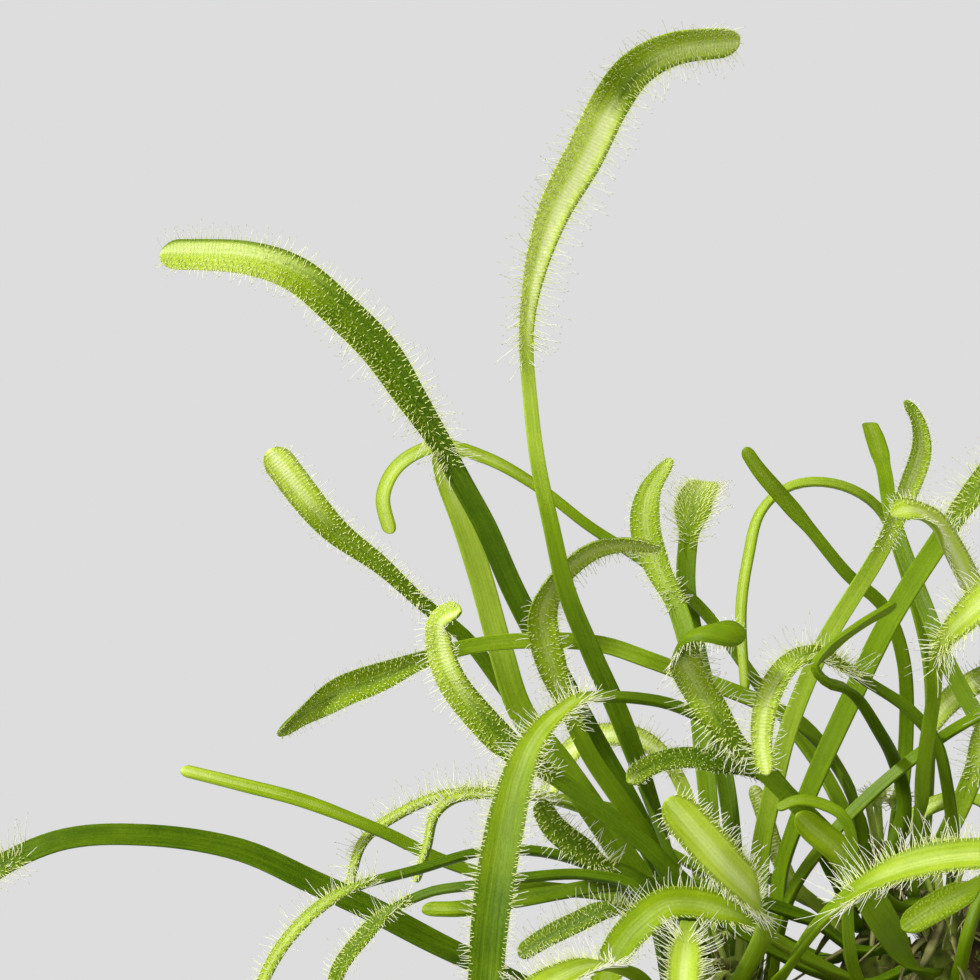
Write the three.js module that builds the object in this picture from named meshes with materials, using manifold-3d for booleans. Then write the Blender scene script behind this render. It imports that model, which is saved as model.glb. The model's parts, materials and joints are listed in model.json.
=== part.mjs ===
import * as THREE from "three";
import Module from "manifold-3d";

const wasm = await Module();
wasm.setup();

// All sizes are in mm. Z is up, the plant faces -Y, the pot stands on Z = 0 about the Z axis.
const POT_HEIGHT = 80;
const POT_TOP_RADIUS = 45;
const POT_FOOT_RADIUS = 34;
const POT_WALL = 1.8;
const POT_FLOOR = 2;
const LIP_HEIGHT = 6;
const LIP_OVERHANG = 2.2;
const POT_SIDES = 32;
const GAP = 0.3;
const SOIL_EDGE_HEIGHT = 75.5;
const SOIL_SIDES = 24;
const HUMMOCK = { x: 17, y: 5, rise: 25, spread: 20 };

// The short upright stems, the dead leaf bases that clothe them and the young leaves on top.
const STEM_RADIUS = 3;
const STEM_SIDES = 10;
const DEAD_BASE = { length: 6, radius: 0.75, drop: 0.9 };
const YOUNG_LEAF = { length: 10, radius: 0.6, lean: 0.32 };

const BLADE_THICKNESS = 0.85;
const STALK_THICKNESS = 1.15;
const MARGIN_THICKNESS = 0.6;
const STALK_CHANNEL = 0.13;
const STALK_STATIONS = 5;
const BLADE_STATIONS = 7;
const HAIR_RADIUS = 0.26;
const HAIR_CLEARANCE = 0.8;

// Each stem: x, y, the height where it starts in the soil and the height of its top.
const LEFT = { name: "crown_left", x: -20, y: 2, foot: 60, top: 90.5 };
const BACK = { name: "crown_back", x: -1, y: 11, foot: 66, top: 104 };
const FRONT = { name: "crown_front", x: 5, y: -9, foot: 66, top: 100.5 };
const RIGHT = { name: "crown_right", x: 22, y: 2, foot: 70, top: 109.5 };
const LOW = { name: "crown_low", x: -24, y: -14, foot: 60, top: 85.5 };
const CROWNS = [LEFT, BACK, FRONT, RIGHT, LOW];

// leaf(name, crown, height of its foot, [blade length, blade width, neck width, stalk width,
//   tentacle length, share of the blade over which it widens, share of its width that it loses
//   towards the tip, depth of its channel as a share of its width],
//   [share of the length, then the way the upper face looks there], [x, y, z] points)
function leaf(name, crown, height, sizes, faces, points) {
  const [blade, width, neck, stalk, hair, spread = 0.3, taper = 0.16, channel = STALK_CHANNEL] = sizes;
  return { name, crown, height, blade, width, neck, stalk, hair, spread, taper, channel, faces, points };
}

const LEAVES = [
  leaf("leaf_01", LEFT, 88.3, [52, 4.9, 1.8, 3, 3.2, 0.4, 0.16, 0.2],
    [[0.4, 0.1, -1, 0], [0.85, 0.2, -1, -0.1], [1, 0.2, -0.75, -0.6]],
    [[-25, -3.5, 92], [-28, -5, 102.5], [-31.5, -4, 112], [-35, -3, 121.5], [-38.5, -3, 129.5],
     [-41.5, -3, 137], [-43.5, -3, 145.5], [-45, -2, 152.5], [-46, 0, 160.5], [-46.5, 0, 169],
     [-45.5, 0, 176.5], [-43, 0, 184.5], [-39.5, -1, 191], [-36, -2, 198], [-33, -3, 202],
     [-28.5, -4, 204.5], [-20, -4, 205.5]]),
  leaf("leaf_02", LEFT, 87, [49, 4.7, 2.8, 3.4, 2.6, 0.35, 0.04, 0.18],
    [[0.4, -0.1, -0.95, 0.15], [0.75, 0.05, -0.97, 0.1], [1, -0.1, -0.8, 0.5]],
    [[-24.5, 6, 91], [-29.5, 8, 100.5], [-33, 10, 108], [-37.5, 12, 116], [-42.5, 12, 125.5],
     [-48, 12, 136], [-51.5, 12, 144], [-54.5, 12, 149.5], [-57.5, 12, 155], [-61, 11, 160.5],
     [-65, 11, 166.5], [-70, 11, 171.5], [-75.5, 12, 176], [-81.5, 13, 178], [-93, 14, 178.5]]),
  leaf("leaf_03", LEFT, 80.8, [28, 4.3, 1.9, 2.4, 1.6, 0.8, 0, 0.15],
    [[0.4, -0.2, -0.9, 0.3], [1, -0.1, -0.8, 0.6]],
    [[-25.5, 12, 92], [-30, 18, 97], [-35.5, 20, 104.5], [-42, 21, 113.5], [-49, 21, 122.5],
     [-54, 21, 129], [-59.5, 20, 133.5], [-65, 20, 138.5], [-71.5, 20, 143.5], [-79.5, 20, 153.5]]),
  leaf("leaf_04", BACK, 99, [34, 2.2, 1.5, 2.3, 0, 0.9, 0, 0.13],
    [[0.3, 0.4, -0.5, 0.7], [0.6, 0, -0.7, 0.7], [0.85, -0.5, -0.8, 0.3], [1, -0.5, -0.85, 0]],
    [[-4.5, 21, 104.5], [-8, 28, 111.5], [-15.5, 33, 121.5], [-23.5, 36, 132], [-31, 38, 138],
     [-38, 39, 142.5], [-44.5, 40, 147.5], [-51.5, 40, 151.5], [-58, 40, 153], [-63, 40, 150.5],
     [-65, 40, 146.5], [-64, 40, 141.5]]),
  leaf("leaf_05", LEFT, 83.8, [10, 3.1, 3.1, 3.6, 0],
    [[0.4, 0, -1, 0.1], [1, 0, -1, 0.2]],
    [[-26, 9, 91.5], [-32, 12, 99], [-37, 14, 106.5], [-42, 16, 113.5], [-47, 17, 120],
     [-49.5, 17.5, 127.5], [-52, 18, 136.5], [-54.5, 18, 144.5], [-56.5, 18, 150], [-57.5, 18, 154]]),
  leaf("leaf_06", BACK, 99.2, [24, 4, 2, 2.6, 1.1, 0.5, 0.5, 0.26],
    [[0.3, 0.4, -0.7, 0.6], [0.6, -0.1, -0.9, 0.3], [0.88, -0.2, -0.9, 0.2], [1, 0.3, -0.6, -0.7]],
    [[-4.5, 6.5, 108], [-6.5, 8, 113], [-11.5, 8, 119], [-17, 7, 122], [-24.5, 6, 125],
     [-31, 6, 127.5], [-37, 6, 129.5], [-44.5, 6, 130], [-52.5, 5, 129.5], [-59, 2, 128],
     [-64.5, -1, 126], [-70, -3, 124], [-74.5, -4, 121.5], [-77.5, -4, 119]]),
  leaf("leaf_07", FRONT, 91, [28, 3.9, 2.2, 2.6, 1.9],
    [[0.4, -0.2, -0.7, 0.7], [0.7, -0.3, -0.9, 0.3], [0.9, -0.4, -0.9, 0.1], [1, -0.3, -0.7, 0.6]],
    [[-4, -12, 89], [-10.5, -13, 90.5], [-15.5, -14, 93], [-21, -15, 96.5], [-26.5, -15, 101],
     [-31.5, -15, 106], [-37, -15, 110.5], [-42.5, -14, 114.5], [-48, -14, 118], [-52.5, -13, 122.5],
     [-55.5, -13, 126.5], [-57, -13, 130.5], [-57, -14, 134], [-54.5, -16, 135.5]]),
  leaf("leaf_08", FRONT, 96.5, [46, 4.9, 1.7, 2.4, 3, 0.5, 0.16, 0.13],
    [[0.3, 0, -0.5, 0.85], [0.5, -0.1, -0.6, 0.8], [0.62, -0.4, -0.9, 0.2], [1, -0.1, -1, 0.2]],
    [[-2.5, -12, 97.5], [-8, -12.5, 105.5], [-13, -12.5, 111], [-17.5, -12, 116], [-23.5, -12, 121],
     [-28.5, -13, 123.5], [-32.5, -15, 124.5], [-37, -18, 125], [-40, -21, 125], [-42, -23.5, 124],
     [-44, -25.5, 122.5], [-46, -27, 120], [-47.5, -28.5, 116.5], [-48.5, -30, 113], [-50, -33, 106],
     [-51, -35.5, 99], [-51.5, -37, 93], [-52, -39, 88.5]]),
  leaf("leaf_09", LEFT, 85, [34, 4, 2.2, 2.8, 1.8, 0.3, 0.45, 0.13],
    [[0.5, 0, -1, 0], [0.66, 0.1, -1, 0], [0.82, 0.7, -0.6, -0.4],
     [0.92, 0.1, -0.7, -0.7], [1, 0, -0.6, -0.8]],
    [[-27.5, 1.5, 97.5], [-30, 2.5, 103], [-34.5, 3, 110], [-38.5, 3, 116], [-41.5, 3, 122.5],
     [-43.5, 2.5, 128], [-44.5, 2.5, 133.5], [-43, 3, 137.5], [-38.5, 4, 141.5], [-34, 4, 142.5],
     [-29.5, 3, 142]]),
  leaf("leaf_10", FRONT, 99.3, [26, 4.2, 2.2, 2.6, 2.4],
    [[0.4, -0.3, -1, 0.2], [0.72, -0.2, -1, 0], [0.86, 0.7, -0.3, -0.7], [1, 0.1, 0.9, -0.4]],
    [[-1, -15.5, 99], [-6, -18, 104], [-10.5, -19, 109], [-15.5, -19, 114], [-20, -19, 118.5],
     [-23.5, -19, 123], [-26, -18, 127], [-27.5, -19.5, 130], [-27, -22, 132.5], [-25, -23.5, 133.5],
     [-22.5, -24, 133.5], [-20, -23.5, 133]]),
  leaf("leaf_11", FRONT, 96, [26, 3.3, 1.5, 1.9, 2.9, 0.35, 0.3, 0.13],
    [[0.3, -0.7, -0.6, 0], [0.55, 0, -0.7, 0.7], [0.75, -0.5, -0.8, 0.4], [1, -0.1, -1, 0.1]],
    [[7, -4, 104.5], [6, -5, 113], [4.5, -6, 118.5], [1.5, -6.5, 122], [-2, -8, 124.5],
     [-6.5, -12, 127.5], [-11, -16, 130], [-14.5, -19, 129], [-17, -21, 125.5], [-18, -22, 120.5],
     [-17.5, -24, 116]]),
  leaf("leaf_12", BACK, 96.5, [14, 2.2, 1.9, 2.2, 0],
    [[0.35, 0.5, 0.4, 0.8], [0.6, 0.2, -0.4, 0.9], [0.76, 0.3, -0.3, 0.9],
     [0.82, 1, -0.2, 0.2], [0.9, 0.5, -0.4, -0.8], [1, 0.5, -0.5, -0.7]],
    [[-1, 5, 101], [1, 5, 107], [1, 5, 111], [-0.5, 1.5, 115.5], [-3, -7, 120], [-5.5, -13, 124],
     [-7.5, -17, 126], [-10, -19.5, 127], [-11.5, -20.5, 129], [-10, -20.5, 131], [-6, -19.5, 134],
     [-1.5, -18, 136.5]]),
  leaf("leaf_13", LEFT, 85.5, [38, 4.4, 3, 3, 3.2],
    [[0.4, -0.6, -0.8, 0], [0.75, -0.4, -0.8, 0.4], [1, 0, -0.6, 0.8]],
    [[-15, 3, 92.5], [-14, 5, 101], [-11, 4, 110], [-5.5, 4, 122.5], [-0.5, 3, 133], [5, 2, 142],
     [10, 0, 149.5], [17.5, -2, 157.5], [26, -4, 164.5], [35.5, -8, 167.5]]),
  leaf("leaf_14", BACK, 93, [19, 3, 1.7, 2, 0.9],
    [[0.3, -0.3, -0.9, 0.2], [0.6, -0.1, -0.8, 0.5], [0.85, -0.1, -0.8, 0.6], [1, 0.6, -0.6, 0.5]],
    [[-6, 7, 96.5], [-8.5, 4, 102.5], [-11.5, 0, 108.5], [-15, -4, 112.5], [-19, -7, 115],
     [-23, -8, 116], [-26.5, -8, 116.5], [-30, -8.5, 116], [-32.5, -10, 115], [-34, -12, 114]]),
  leaf("leaf_15", LOW, 83.6, [20, 5.4, 2.4, 2.4, 2.2],
    [[0.4, 0.2, -0.4, 0.9], [0.7, 0.3, -0.8, 0.5], [1, 0.2, -0.95, 0.2]],
    [[-21, -28, 91], [-18.5, -38, 99], [-20.5, -46, 104.5], [-23.5, -49, 108], [-27, -50, 112],
     [-30.5, -50, 116]]),
  leaf("leaf_16", FRONT, 88.6, [26, 4.4, 2.4, 2.6, 2.4],
    [[0.4, 0, -0.6, 0.8], [0.7, -0.1, -0.8, 0.6], [1, -0.4, -0.9, 0.2]],
    [[-3, -17, 89], [-9.5, -22, 92], [-16, -27, 96], [-21.5, -32, 100], [-26.5, -33, 101.5],
     [-30, -34, 101.5], [-33, -35, 99.5], [-35.5, -35, 96.5], [-38, -35.5, 90.5]]),
  leaf("leaf_17", LOW, 80.6, [15, 3.8, 2, 2.2, 2.6],
    [[0.4, 0, -0.4, 0.9], [0.7, 0, -0.8, 0.6], [1, 0, -0.95, 0.3]],
    [[-27, -26, 93.5], [-27, -32, 98.5], [-27.5, -38, 99.5], [-28, -46, 98.5], [-28.5, -52, 94.5],
     [-28, -55, 89.5]]),
  leaf("leaf_18", LOW, 78.6, [36, 4.6, 2.6, 2.4, 3.2],
    [[0.4, -0.4, -0.5, 0.8], [0.6, -0.1, -0.7, 0.7], [1, 0, -0.75, 0.65]],
    [[-17.5, -26, 89], [-15.5, -36, 94.5], [-12, -42, 100.5], [-7.5, -46, 105], [-2, -49, 108],
     [6, -51, 109.5], [15, -53, 108.5], [23, -54, 104.5]]),
  leaf("leaf_19", RIGHT, 106, [28, 4.8, 2.6, 2.6, 2],
    [[0.3, 0.3, -0.5, 0.8], [0.7, 0.2, -0.7, 0.7], [1, -0.4, -0.7, 0.6]],
    [[17.5, 0, 109.5], [16, -2, 118], [13, -6, 127.5], [10, -10, 133.5], [7.5, -13, 139],
     [5, -16, 143.5], [3, -19, 146.5], [0, -22, 148], [-2.5, -23, 147.5]]),
  leaf("leaf_20", LEFT, 82, [19, 2.9, 2.2, 2.8, 0.9, 0.5, 0.5, 0.26],
    [[0.4, -0.5, -0.85, 0], [1, 0.3, -0.9, 0.1]],
    [[-17, 6, 94.5], [-16.5, 8, 103], [-15, 7, 111], [-13, 5, 119.5], [-9, 4, 129.5], [-5.5, 4, 135.5],
     [-3, 4, 139.5], [-1, 3, 143.5], [1.5, 3, 149.5], [3, 3, 154.5], [2.5, 3, 158], [1, 3, 160.5]]),
  leaf("leaf_21", RIGHT, 103, [16, 2.6, 2, 2.3, 0],
    [[0.4, -0.2, -1, 0.2], [1, 0, -0.5, 0.85]],
    [[18, 8, 108.5], [14, 13, 115], [10.5, 17, 121], [7.5, 20, 127], [5.5, 23, 132.5], [3.5, 27, 138],
     [1.5, 32, 144.5], [1, 38, 149.5], [0.5, 46, 153], [0, 54, 155.5]]),
  leaf("leaf_22", BACK, 99.2, [14, 2.1, 1.6, 2.1, 0],
    [[0.3, -0.4, -0.8, 0.3], [1, -0.5, -0.6, 0.6]],
    [[1, 16, 103], [2.5, 17, 116.5], [2, 16, 127], [-0.5, 16, 133.5], [-5, 16, 137.5],
     [-10, 16, 143.5], [-13.5, 16, 147.5], [-16.5, 16, 151], [-18.5, 16, 154]]),
  leaf("leaf_23", BACK, 96.2, [28, 2, 1.4, 1.9, 0],
    [[0.25, 0.8, -0.6, 0.2], [0.55, 0, -0.6, 0.8], [0.8, -0.8, -0.6, 0.2], [1, -0.8, -0.6, 0]],
    [[4.5, 24, 100], [6.5, 32, 112.5], [6.5, 36, 125], [3.5, 38, 137], [0.5, 38, 144.5],
     [-3.5, 37, 147.5], [-8.5, 36, 148.5], [-12.5, 35, 147.5], [-15.5, 34, 144.5], [-17, 33, 139],
     [-18, 32, 132], [-17.5, 31, 121.5]]),
  leaf("leaf_24", LEFT, 85, [22, 4.1, 2.7, 2.4, 1.4, 0.5, 0.55, 0.13],
    [[0.4, -0.1, -1, 0], [1, -0.3, -0.9, 0.3]],
    [[-22, 13.5, 92], [-22.5, 18, 103.5], [-23.5, 23, 116], [-24.5, 27, 125], [-26.5, 31, 132.5],
     [-29, 34, 137.5], [-30.5, 36, 142.5], [-30, 37, 147], [-27, 39, 151.5]]),
  leaf("leaf_25", LEFT, 88.6, [21, 5, 2.6, 2.3, 2.6],
    [[0.4, 0, -1, 0.2], [1, 0, -0.6, 0.8]],
    [[-19.5, 15, 96.5], [-20, 26, 107.5], [-22, 34, 118.5], [-24, 39, 127.5], [-25, 43, 134.5],
     [-24.5, 47, 140.5], [-23.5, 54, 144.5], [-21.5, 66, 147]]),
  leaf("leaf_26", LEFT, 79, [31, 4.3, 3.2, 3.8, 3.2],
    [[0.4, 0, -0.75, 0.7], [0.75, 0, -0.75, 0.7], [1, -0.5, -0.75, 0.3]],
    [[-32, 3, 81.5], [-42, 3, 84.5], [-56.5, 4, 91], [-66, 4, 96], [-73.5, 4, 99.5], [-82.5, 4, 103.5],
     [-94, 3, 105.5], [-105, 2, 105], [-115, 0, 100.5], [-125, -2, 93.5], [-134.5, -4, 84]]),
  leaf("leaf_27", BACK, 90.3, [26, 2.2, 1.9, 2.3, 0, 0.35, 0.1, 0.13],
    [[0.4, 0, -0.6, 0.8], [1, 0, -0.7, 0.7]],
    [[-7.5, 17, 88], [-16, 21, 91], [-25, 23, 93.5], [-36.5, 24, 95.5], [-47, 26, 96.5],
     [-57.5, 28, 99.5], [-65, 29, 103], [-75.5, 30, 107], [-83.5, 31, 109], [-91.5, 31, 111]]),
  leaf("leaf_28", BACK, 96, [26, 2, 1.3, 1.6, 2],
    [[0.4, 0, -0.5, 0.9], [0.8, -0.4, -0.5, 0.8], [1, -0.8, -0.5, 0.3]],
    [[-8.5, 21, 94.5], [-16, 27, 98], [-25, 32, 102], [-34, 33, 105.5], [-42, 34, 107],
     [-49.5, 33, 108], [-57, 32, 107.5], [-63, 32, 105], [-67.5, 32, 101.5], [-69.5, 32, 95]]),
  leaf("leaf_29", BACK, 93, [24, 1.8, 1.3, 1.6, 2.4],
    [[0.4, 0, -0.5, 0.9], [0.7, -0.3, -0.5, 0.8], [0.85, -0.8, -0.5, 0.4], [1, -0.9, -0.4, 0.2]],
    [[-11, 20, 93], [-20, 26, 96.5], [-29, 26, 101.5], [-36.5, 25, 105.5], [-43, 23, 108],
     [-50.5, 20, 109], [-55.5, 19, 108.5], [-58, 18, 106.5], [-59, 18, 102.5], [-60.5, 17, 98]]),
  leaf("leaf_30", LEFT, 82, [25, 2.2, 1.3, 1.7, 2.2],
    [[0.4, 0, -0.5, 0.9], [0.75, -0.4, -0.6, 0.7], [1, -0.7, -0.6, 0.4]],
    [[-31, -1, 96], [-37, -1, 101.5], [-44.5, -1, 104], [-52.5, -2, 104], [-60, -3, 102],
     [-67.5, -4, 100], [-72, -4, 97.5], [-76.5, -5, 93], [-79.5, -5, 87.5], [-81, -5, 82]]),
  leaf("leaf_31", LOW, 79.6, [19.5, 2.6, 1.3, 1.7, 2.2],
    [[0.4, 0, -0.5, 0.9], [0.75, -0.4, -0.7, 0.6], [1, -0.7, -0.6, 0.3]],
    [[-32.5, -15, 100.5], [-38.5, -13, 102.5], [-47.5, -12, 102], [-53, -11, 101], [-58.5, -10, 100],
     [-63.5, -10, 97.5], [-67, -10, 94], [-69.5, -10, 90.5], [-70.5, -10, 86.5], [-71, -10, 82.5]]),
  leaf("leaf_32", FRONT, 93.8, [18, 2.9, 2.5, 2.4, 0],
    [[0.4, 0, -0.5, 0.85], [1, 0, -0.6, 0.8]],
    [[-5, -8, 92.5], [-10.5, -8, 96], [-17.5, -8, 98.5], [-23.5, -7, 100], [-29.5, -7, 100.5],
     [-36, -7, 100.5], [-42.5, -7, 99.5], [-48.5, -7, 98.5], [-54.5, -7, 97.5], [-59.5, -7, 97.5]]),
  leaf("leaf_33", LOW, 83, [12, 3.2, 1.6, 1.8, 2.3],
    [[0.4, -0.1, -0.8, 0.6], [1, -0.3, -0.9, 0.3]],
    [[-29, -10, 97.5], [-31, -10, 100.5], [-34, -9.5, 102.5], [-37, -9, 103.5], [-40, -9, 105.5],
     [-43, -9, 108], [-45, -9, 111.5]]),
  leaf("leaf_34", LOW, 83.6, [15, 2.9, 1.5, 1.8, 2.4],
    [[0.4, 0, -0.7, 0.7], [1, -0.2, -0.85, 0.5]],
    [[-30, -20, 96.5], [-33.5, -20, 99], [-37, -20, 99], [-40.5, -20, 97.5], [-44.5, -20, 95.5],
     [-47.5, -20, 93.5]]),
  leaf("leaf_35", LOW, 77.6, [24, 4.8, 2.2, 2.4, 2.8],
    [[0.4, -0.2, -0.6, 0.8], [1, -0.4, -0.7, 0.6]],
    [[-32, -32, 91], [-36, -45, 95.5], [-39.5, -51, 96.5], [-43.5, -56, 95.5], [-48, -58, 92.5],
     [-52, -60, 88.5]]),
  leaf("leaf_36", FRONT, 85.4, [8, 1.5, 1.4, 1.7, 0],
    [[0.4, 0, -1, 0.1], [0.75, 0.1, -0.9, 0.3], [1, 0, -0.8, 0.6]],
    [[0, -17, 86], [-4, -22, 88], [-7, -28, 92.5], [-8, -30, 98], [-8, -30, 104], [-7.5, -29.5, 108],
     [-8.5, -29.5, 111.5], [-11, -29, 113], [-14, -29, 113.5], [-16.5, -29, 112.5]]),
  leaf("leaf_37", FRONT, 99.3, [35, 4.6, 1.8, 2, 2.6, 0.3, 0.16, 0.13],
    [[0.4, -0.3, -0.95, 0.1], [0.7, -0.2, -0.8, 0.5], [1, 0.5, -0.6, 0.6]],
    [[1.5, -10, 105.5], [2, -11, 110.5], [2.5, -12, 116.5], [3.5, -14, 124.5], [4, -18, 131],
     [7.5, -23, 136], [11.5, -26, 139.5], [17.5, -29, 140.5], [23, -31, 138], [26.5, -33, 133]]),
  leaf("leaf_38", FRONT, 90.6, [12, 3.8, 4.2, 3.4, 0],
    [[0.4, 0.2, -0.9, 0.4], [1, 0.1, -0.9, 0.4]],
    [[2.5, -17, 91], [-0.5, -20, 93.5], [-3, -22.5, 97.5], [-6, -23.5, 102.5], [-9, -24, 107],
     [-12, -24.5, 109.5], [-14, -25, 111.5]]),
  leaf("leaf_39", LEFT, 81, [30, 3.8, 1.6, 2, 3],
    [[0.4, -0.5, -0.7, 0.4], [0.8, 0, -0.8, 0.6], [1, 0.5, -0.6, 0.6]],
    [[-13.5, -1, 98], [-9, -1, 105], [-4, -1, 110.5], [3.5, -2, 117], [9.5, -10, 122],
     [18.5, -16, 127], [29.5, -20, 126], [36.5, -22, 120]]),
  leaf("leaf_40", LEFT, 78.4, [24, 3.6, 2, 2.4, 2],
    [[0.4, -0.2, -1, 0], [0.7, 0, -0.7, 0.7], [1, -0.5, -0.8, 0.3]],
    [[-22, 18, 84], [-22.5, 31, 90.5], [-23.5, 38, 98.5], [-25, 42, 106.5], [-28.5, 45, 112],
     [-33.5, 47, 114], [-38.5, 49, 113], [-41.5, 50, 109.5], [-43.5, 50, 105]]),
  leaf("leaf_41", BACK, 87.5, [14, 2.3, 1.7, 2, 0],
    [[0.4, 0, -0.8, 0.5], [1, 0, -0.9, 0.4]],
    [[-6.5, 12, 93], [-12, 12.5, 98], [-14.5, 12.5, 102.5], [-16, 12.5, 107], [-17.5, 12.5, 111]]),
  leaf("leaf_42", BACK, 92.5, [18, 4, 2.8, 2.4, 1.5],
    [[0.4, -0.3, -0.9, 0.3], [1, -0.4, -0.8, 0.4]],
    [[4.5, 11.5, 99], [6.5, 10, 103.5], [8.5, 9, 108], [10.5, 8.5, 113], [12.5, 8.5, 118.5],
     [15.5, 9, 123.5], [19.5, 10, 127.5]]),
  leaf("leaf_43", FRONT, 88.5, [18, 3.2, 1.6, 1.8, 2],
    [[0.3, 0, 1, 0.3], [0.6, -0.3, 0.9, 0.3], [1, 0, 0.7, 0.7]],
    [[7, -15, 92], [7.5, -17, 95.5], [9, -15.5, 99.5], [11, -13, 103.5], [13.5, -12, 107.5],
     [17.5, -12, 112], [22.5, -12, 114.5]]),
  leaf("leaf_44", RIGHT, 98, [34, 4.2, 2.2, 2.6, 3],
    [[0.4, -0.2, -0.2, 1], [0.7, 0.1, -0.2, 1], [1, 0.9, -0.2, 0.4]],
    [[28.5, 2, 99.5], [36, 4, 103.5], [46.5, 6, 105], [57, 8, 102], [67, 8, 95], [75, 8, 85.5]]),
  leaf("leaf_45", RIGHT, 102, [13, 3.8, 2, 2.2, 0],
    [[0.4, 0, -0.6, 0.8], [1, -0.2, -0.9, 0.4]],
    [[16.5, -6, 103], [12.5, -17, 104], [8.5, -27, 103.5], [5, -33, 102.5], [1.5, -35.5, 101],
     [-2, -37, 99]]),
  leaf("leaf_46", RIGHT, 102.6, [12, 2.8, 1.8, 2.2, 0],
    [[0.4, 0, -0.5, 0.8], [1, -0.5, -0.6, 0.5]],
    [[17, 4, 103], [15.5, 10, 105.5], [14, 16, 107], [11, 20, 108.5], [6.5, 21, 107.5],
     [3.5, 21.5, 105.5], [1.5, 21.5, 102.5]]),
  leaf("leaf_47", RIGHT, 104, [36, 4.4, 2.2, 2.8, 3.2],
    [[0.4, -0.8, -0.4, 0.3], [0.8, -0.4, -0.3, 0.9], [1, 0, -0.3, 1]],
    [[27.5, 6, 107.5], [33, 12, 118], [41.5, 18, 129], [51, 24, 138], [62, 28, 142.5],
     [73, 30, 143.5]]),
  leaf("leaf_48", RIGHT, 104.6, [32, 4.2, 2.2, 2.6, 3],
    [[0.4, -0.6, -0.1, 0.6], [0.75, 0, -0.4, 1], [1, 0.6, -0.5, 0.6]],
    [[25, -4, 108.5], [29, -7, 120], [35.5, -10, 129], [43.5, -13, 134], [53, -17, 134],
     [59.5, -21, 128.5]]),
  leaf("leaf_49", RIGHT, 104.3, [34, 4.2, 2.2, 2.6, 3],
    [[0.4, -0.6, -0.6, 0.3], [1, -0.5, -0.6, 0.7]],
    [[25.5, 18, 106], [29, 32, 117.5], [32.5, 42, 130], [37.5, 50, 141.5], [43.5, 56, 152],
     [52, 60, 158.5]]),
  leaf("leaf_50", RIGHT, 101.3, [17, 3.6, 1.9, 2.2, 1.6],
    [[0.4, 0.1, -1, 0], [0.7, 0, -0.8, 0.6], [1, -0.4, -0.8, 0.4]],
    [[20, 15, 109], [21, 22, 117], [19, 25, 122], [15.5, 26, 124], [11.5, 26.5, 122.5], [8.5, 27, 120],
     [5.5, 27.5, 116]]),
  leaf("leaf_51", RIGHT, 101.6, [32, 4.2, 2.2, 2.6, 3],
    [[0.35, -0.3, 0.5, 0.6], [0.75, -0.4, -0.1, 0.9], [1, 0.2, -0.5, 0.9]],
    [[21.5, -18, 102.5], [22, -32, 112.5], [22, -42, 122], [24, -50, 130], [28, -56, 134],
     [32.5, -62, 133]]),
  leaf("leaf_52", RIGHT, 107.5, [40, 4.6, 2.2, 2.8, 3.4],
    [[0.4, -0.8, -0.5, 0.1], [0.8, -0.6, -0.5, 0.6], [1, 0, -0.3, 1]],
    [[25.5, 8, 111], [25, 10, 122], [27.5, 14, 136], [31, 18, 149.5], [37, 22, 162.5], [46, 24, 171.5],
     [56, 24, 174]]),
];

function seeded(seed) {
  let state = seed;
  return () => {
    state = (state * 1664525 + 1013904223) % 4294967296;
    return state / 4294967296;
  };
}

function smooth(from, to, value) {
  const t = Math.min(1, Math.max(0, (value - from) / (to - from)));
  return t * t * (3 - 2 * t);
}

function mix(a, b, t) {
  return a + (b - a) * t;
}

// A leaf starts on the side of its stem that looks towards its first point.
function leafCurve(spec) {
  const [x, y] = spec.points[0];
  const around = Math.atan2(y - spec.crown.y, x - spec.crown.x);
  const start = STEM_RADIUS + GAP + STALK_THICKNESS / 2;
  const foot = [
    spec.crown.x + start * Math.cos(around),
    spec.crown.y + start * Math.sin(around),
    spec.height,
  ];
  const points = [foot, ...spec.points].map((p) => new THREE.Vector3(...p));
  return new THREE.CatmullRomCurve3(points, false, "centripetal");
}

// The upper face looks at the stem at the foot and turns through each stated way after it.
function faceAt(spec, curve, share) {
  const axis = new THREE.Vector3(spec.crown.x, spec.crown.y, spec.height);
  const inward = axis.sub(curve.points[0]).normalize().multiplyScalar(0.6);
  const marks = [[0, inward.x, inward.y, 0.8], ...spec.faces];
  let i = 0;
  while (i < marks.length - 2 && share > marks[i + 1][0]) i += 1;
  const t = smooth(marks[i][0], marks[i + 1][0], share);
  const [from, to] = [marks[i], marks[i + 1]].map((m) => new THREE.Vector3(...m.slice(1)).normalize());
  return from.lerp(to, t).normalize();
}

// Stations lie closer together where the leaf bends.
function stationShares(curve, from, to, count) {
  const steps = 80;
  const measure = [0];
  const span = (to - from) * curve.getLength();
  let before = curve.getTangentAt(from);
  for (let i = 1; i <= steps; i += 1) {
    const now = curve.getTangentAt(mix(from, to, i / steps));
    measure.push(measure[i - 1] + span / steps / 12 + before.angleTo(now));
    before = now;
  }
  const shares = [from];
  for (let i = 1, j = 0; i < count; i += 1) {
    const wanted = (measure[steps] * i) / count;
    while (measure[j + 1] < wanted) j += 1;
    const part = (wanted - measure[j]) / (measure[j + 1] - measure[j]);
    shares.push(mix(from, to, (j + part) / steps));
  }
  return [...shares, to];
}

function leafWidth(spec, distance, length) {
  const bladeStart = length - spec.blade;
  const foot = Math.min(spec.stalk, 2.2);
  const broad = mix(foot, spec.stalk, smooth(1, 14, distance));
  const stalk = mix(broad, spec.neck, smooth(0.2 * bladeStart, bladeStart, distance));
  const widest = bladeStart + spec.spread * spec.blade;
  const blade = mix(stalk, spec.width, smooth(bladeStart, widest, distance));
  const slim = 1 - spec.taper * smooth(length - 0.45 * spec.blade, length, distance);
  const round = 1 - Math.min(1, (length - distance) / (0.55 * spec.width));
  return blade * slim * Math.sqrt(Math.max(0.1, 1 - round * round));
}

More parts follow.
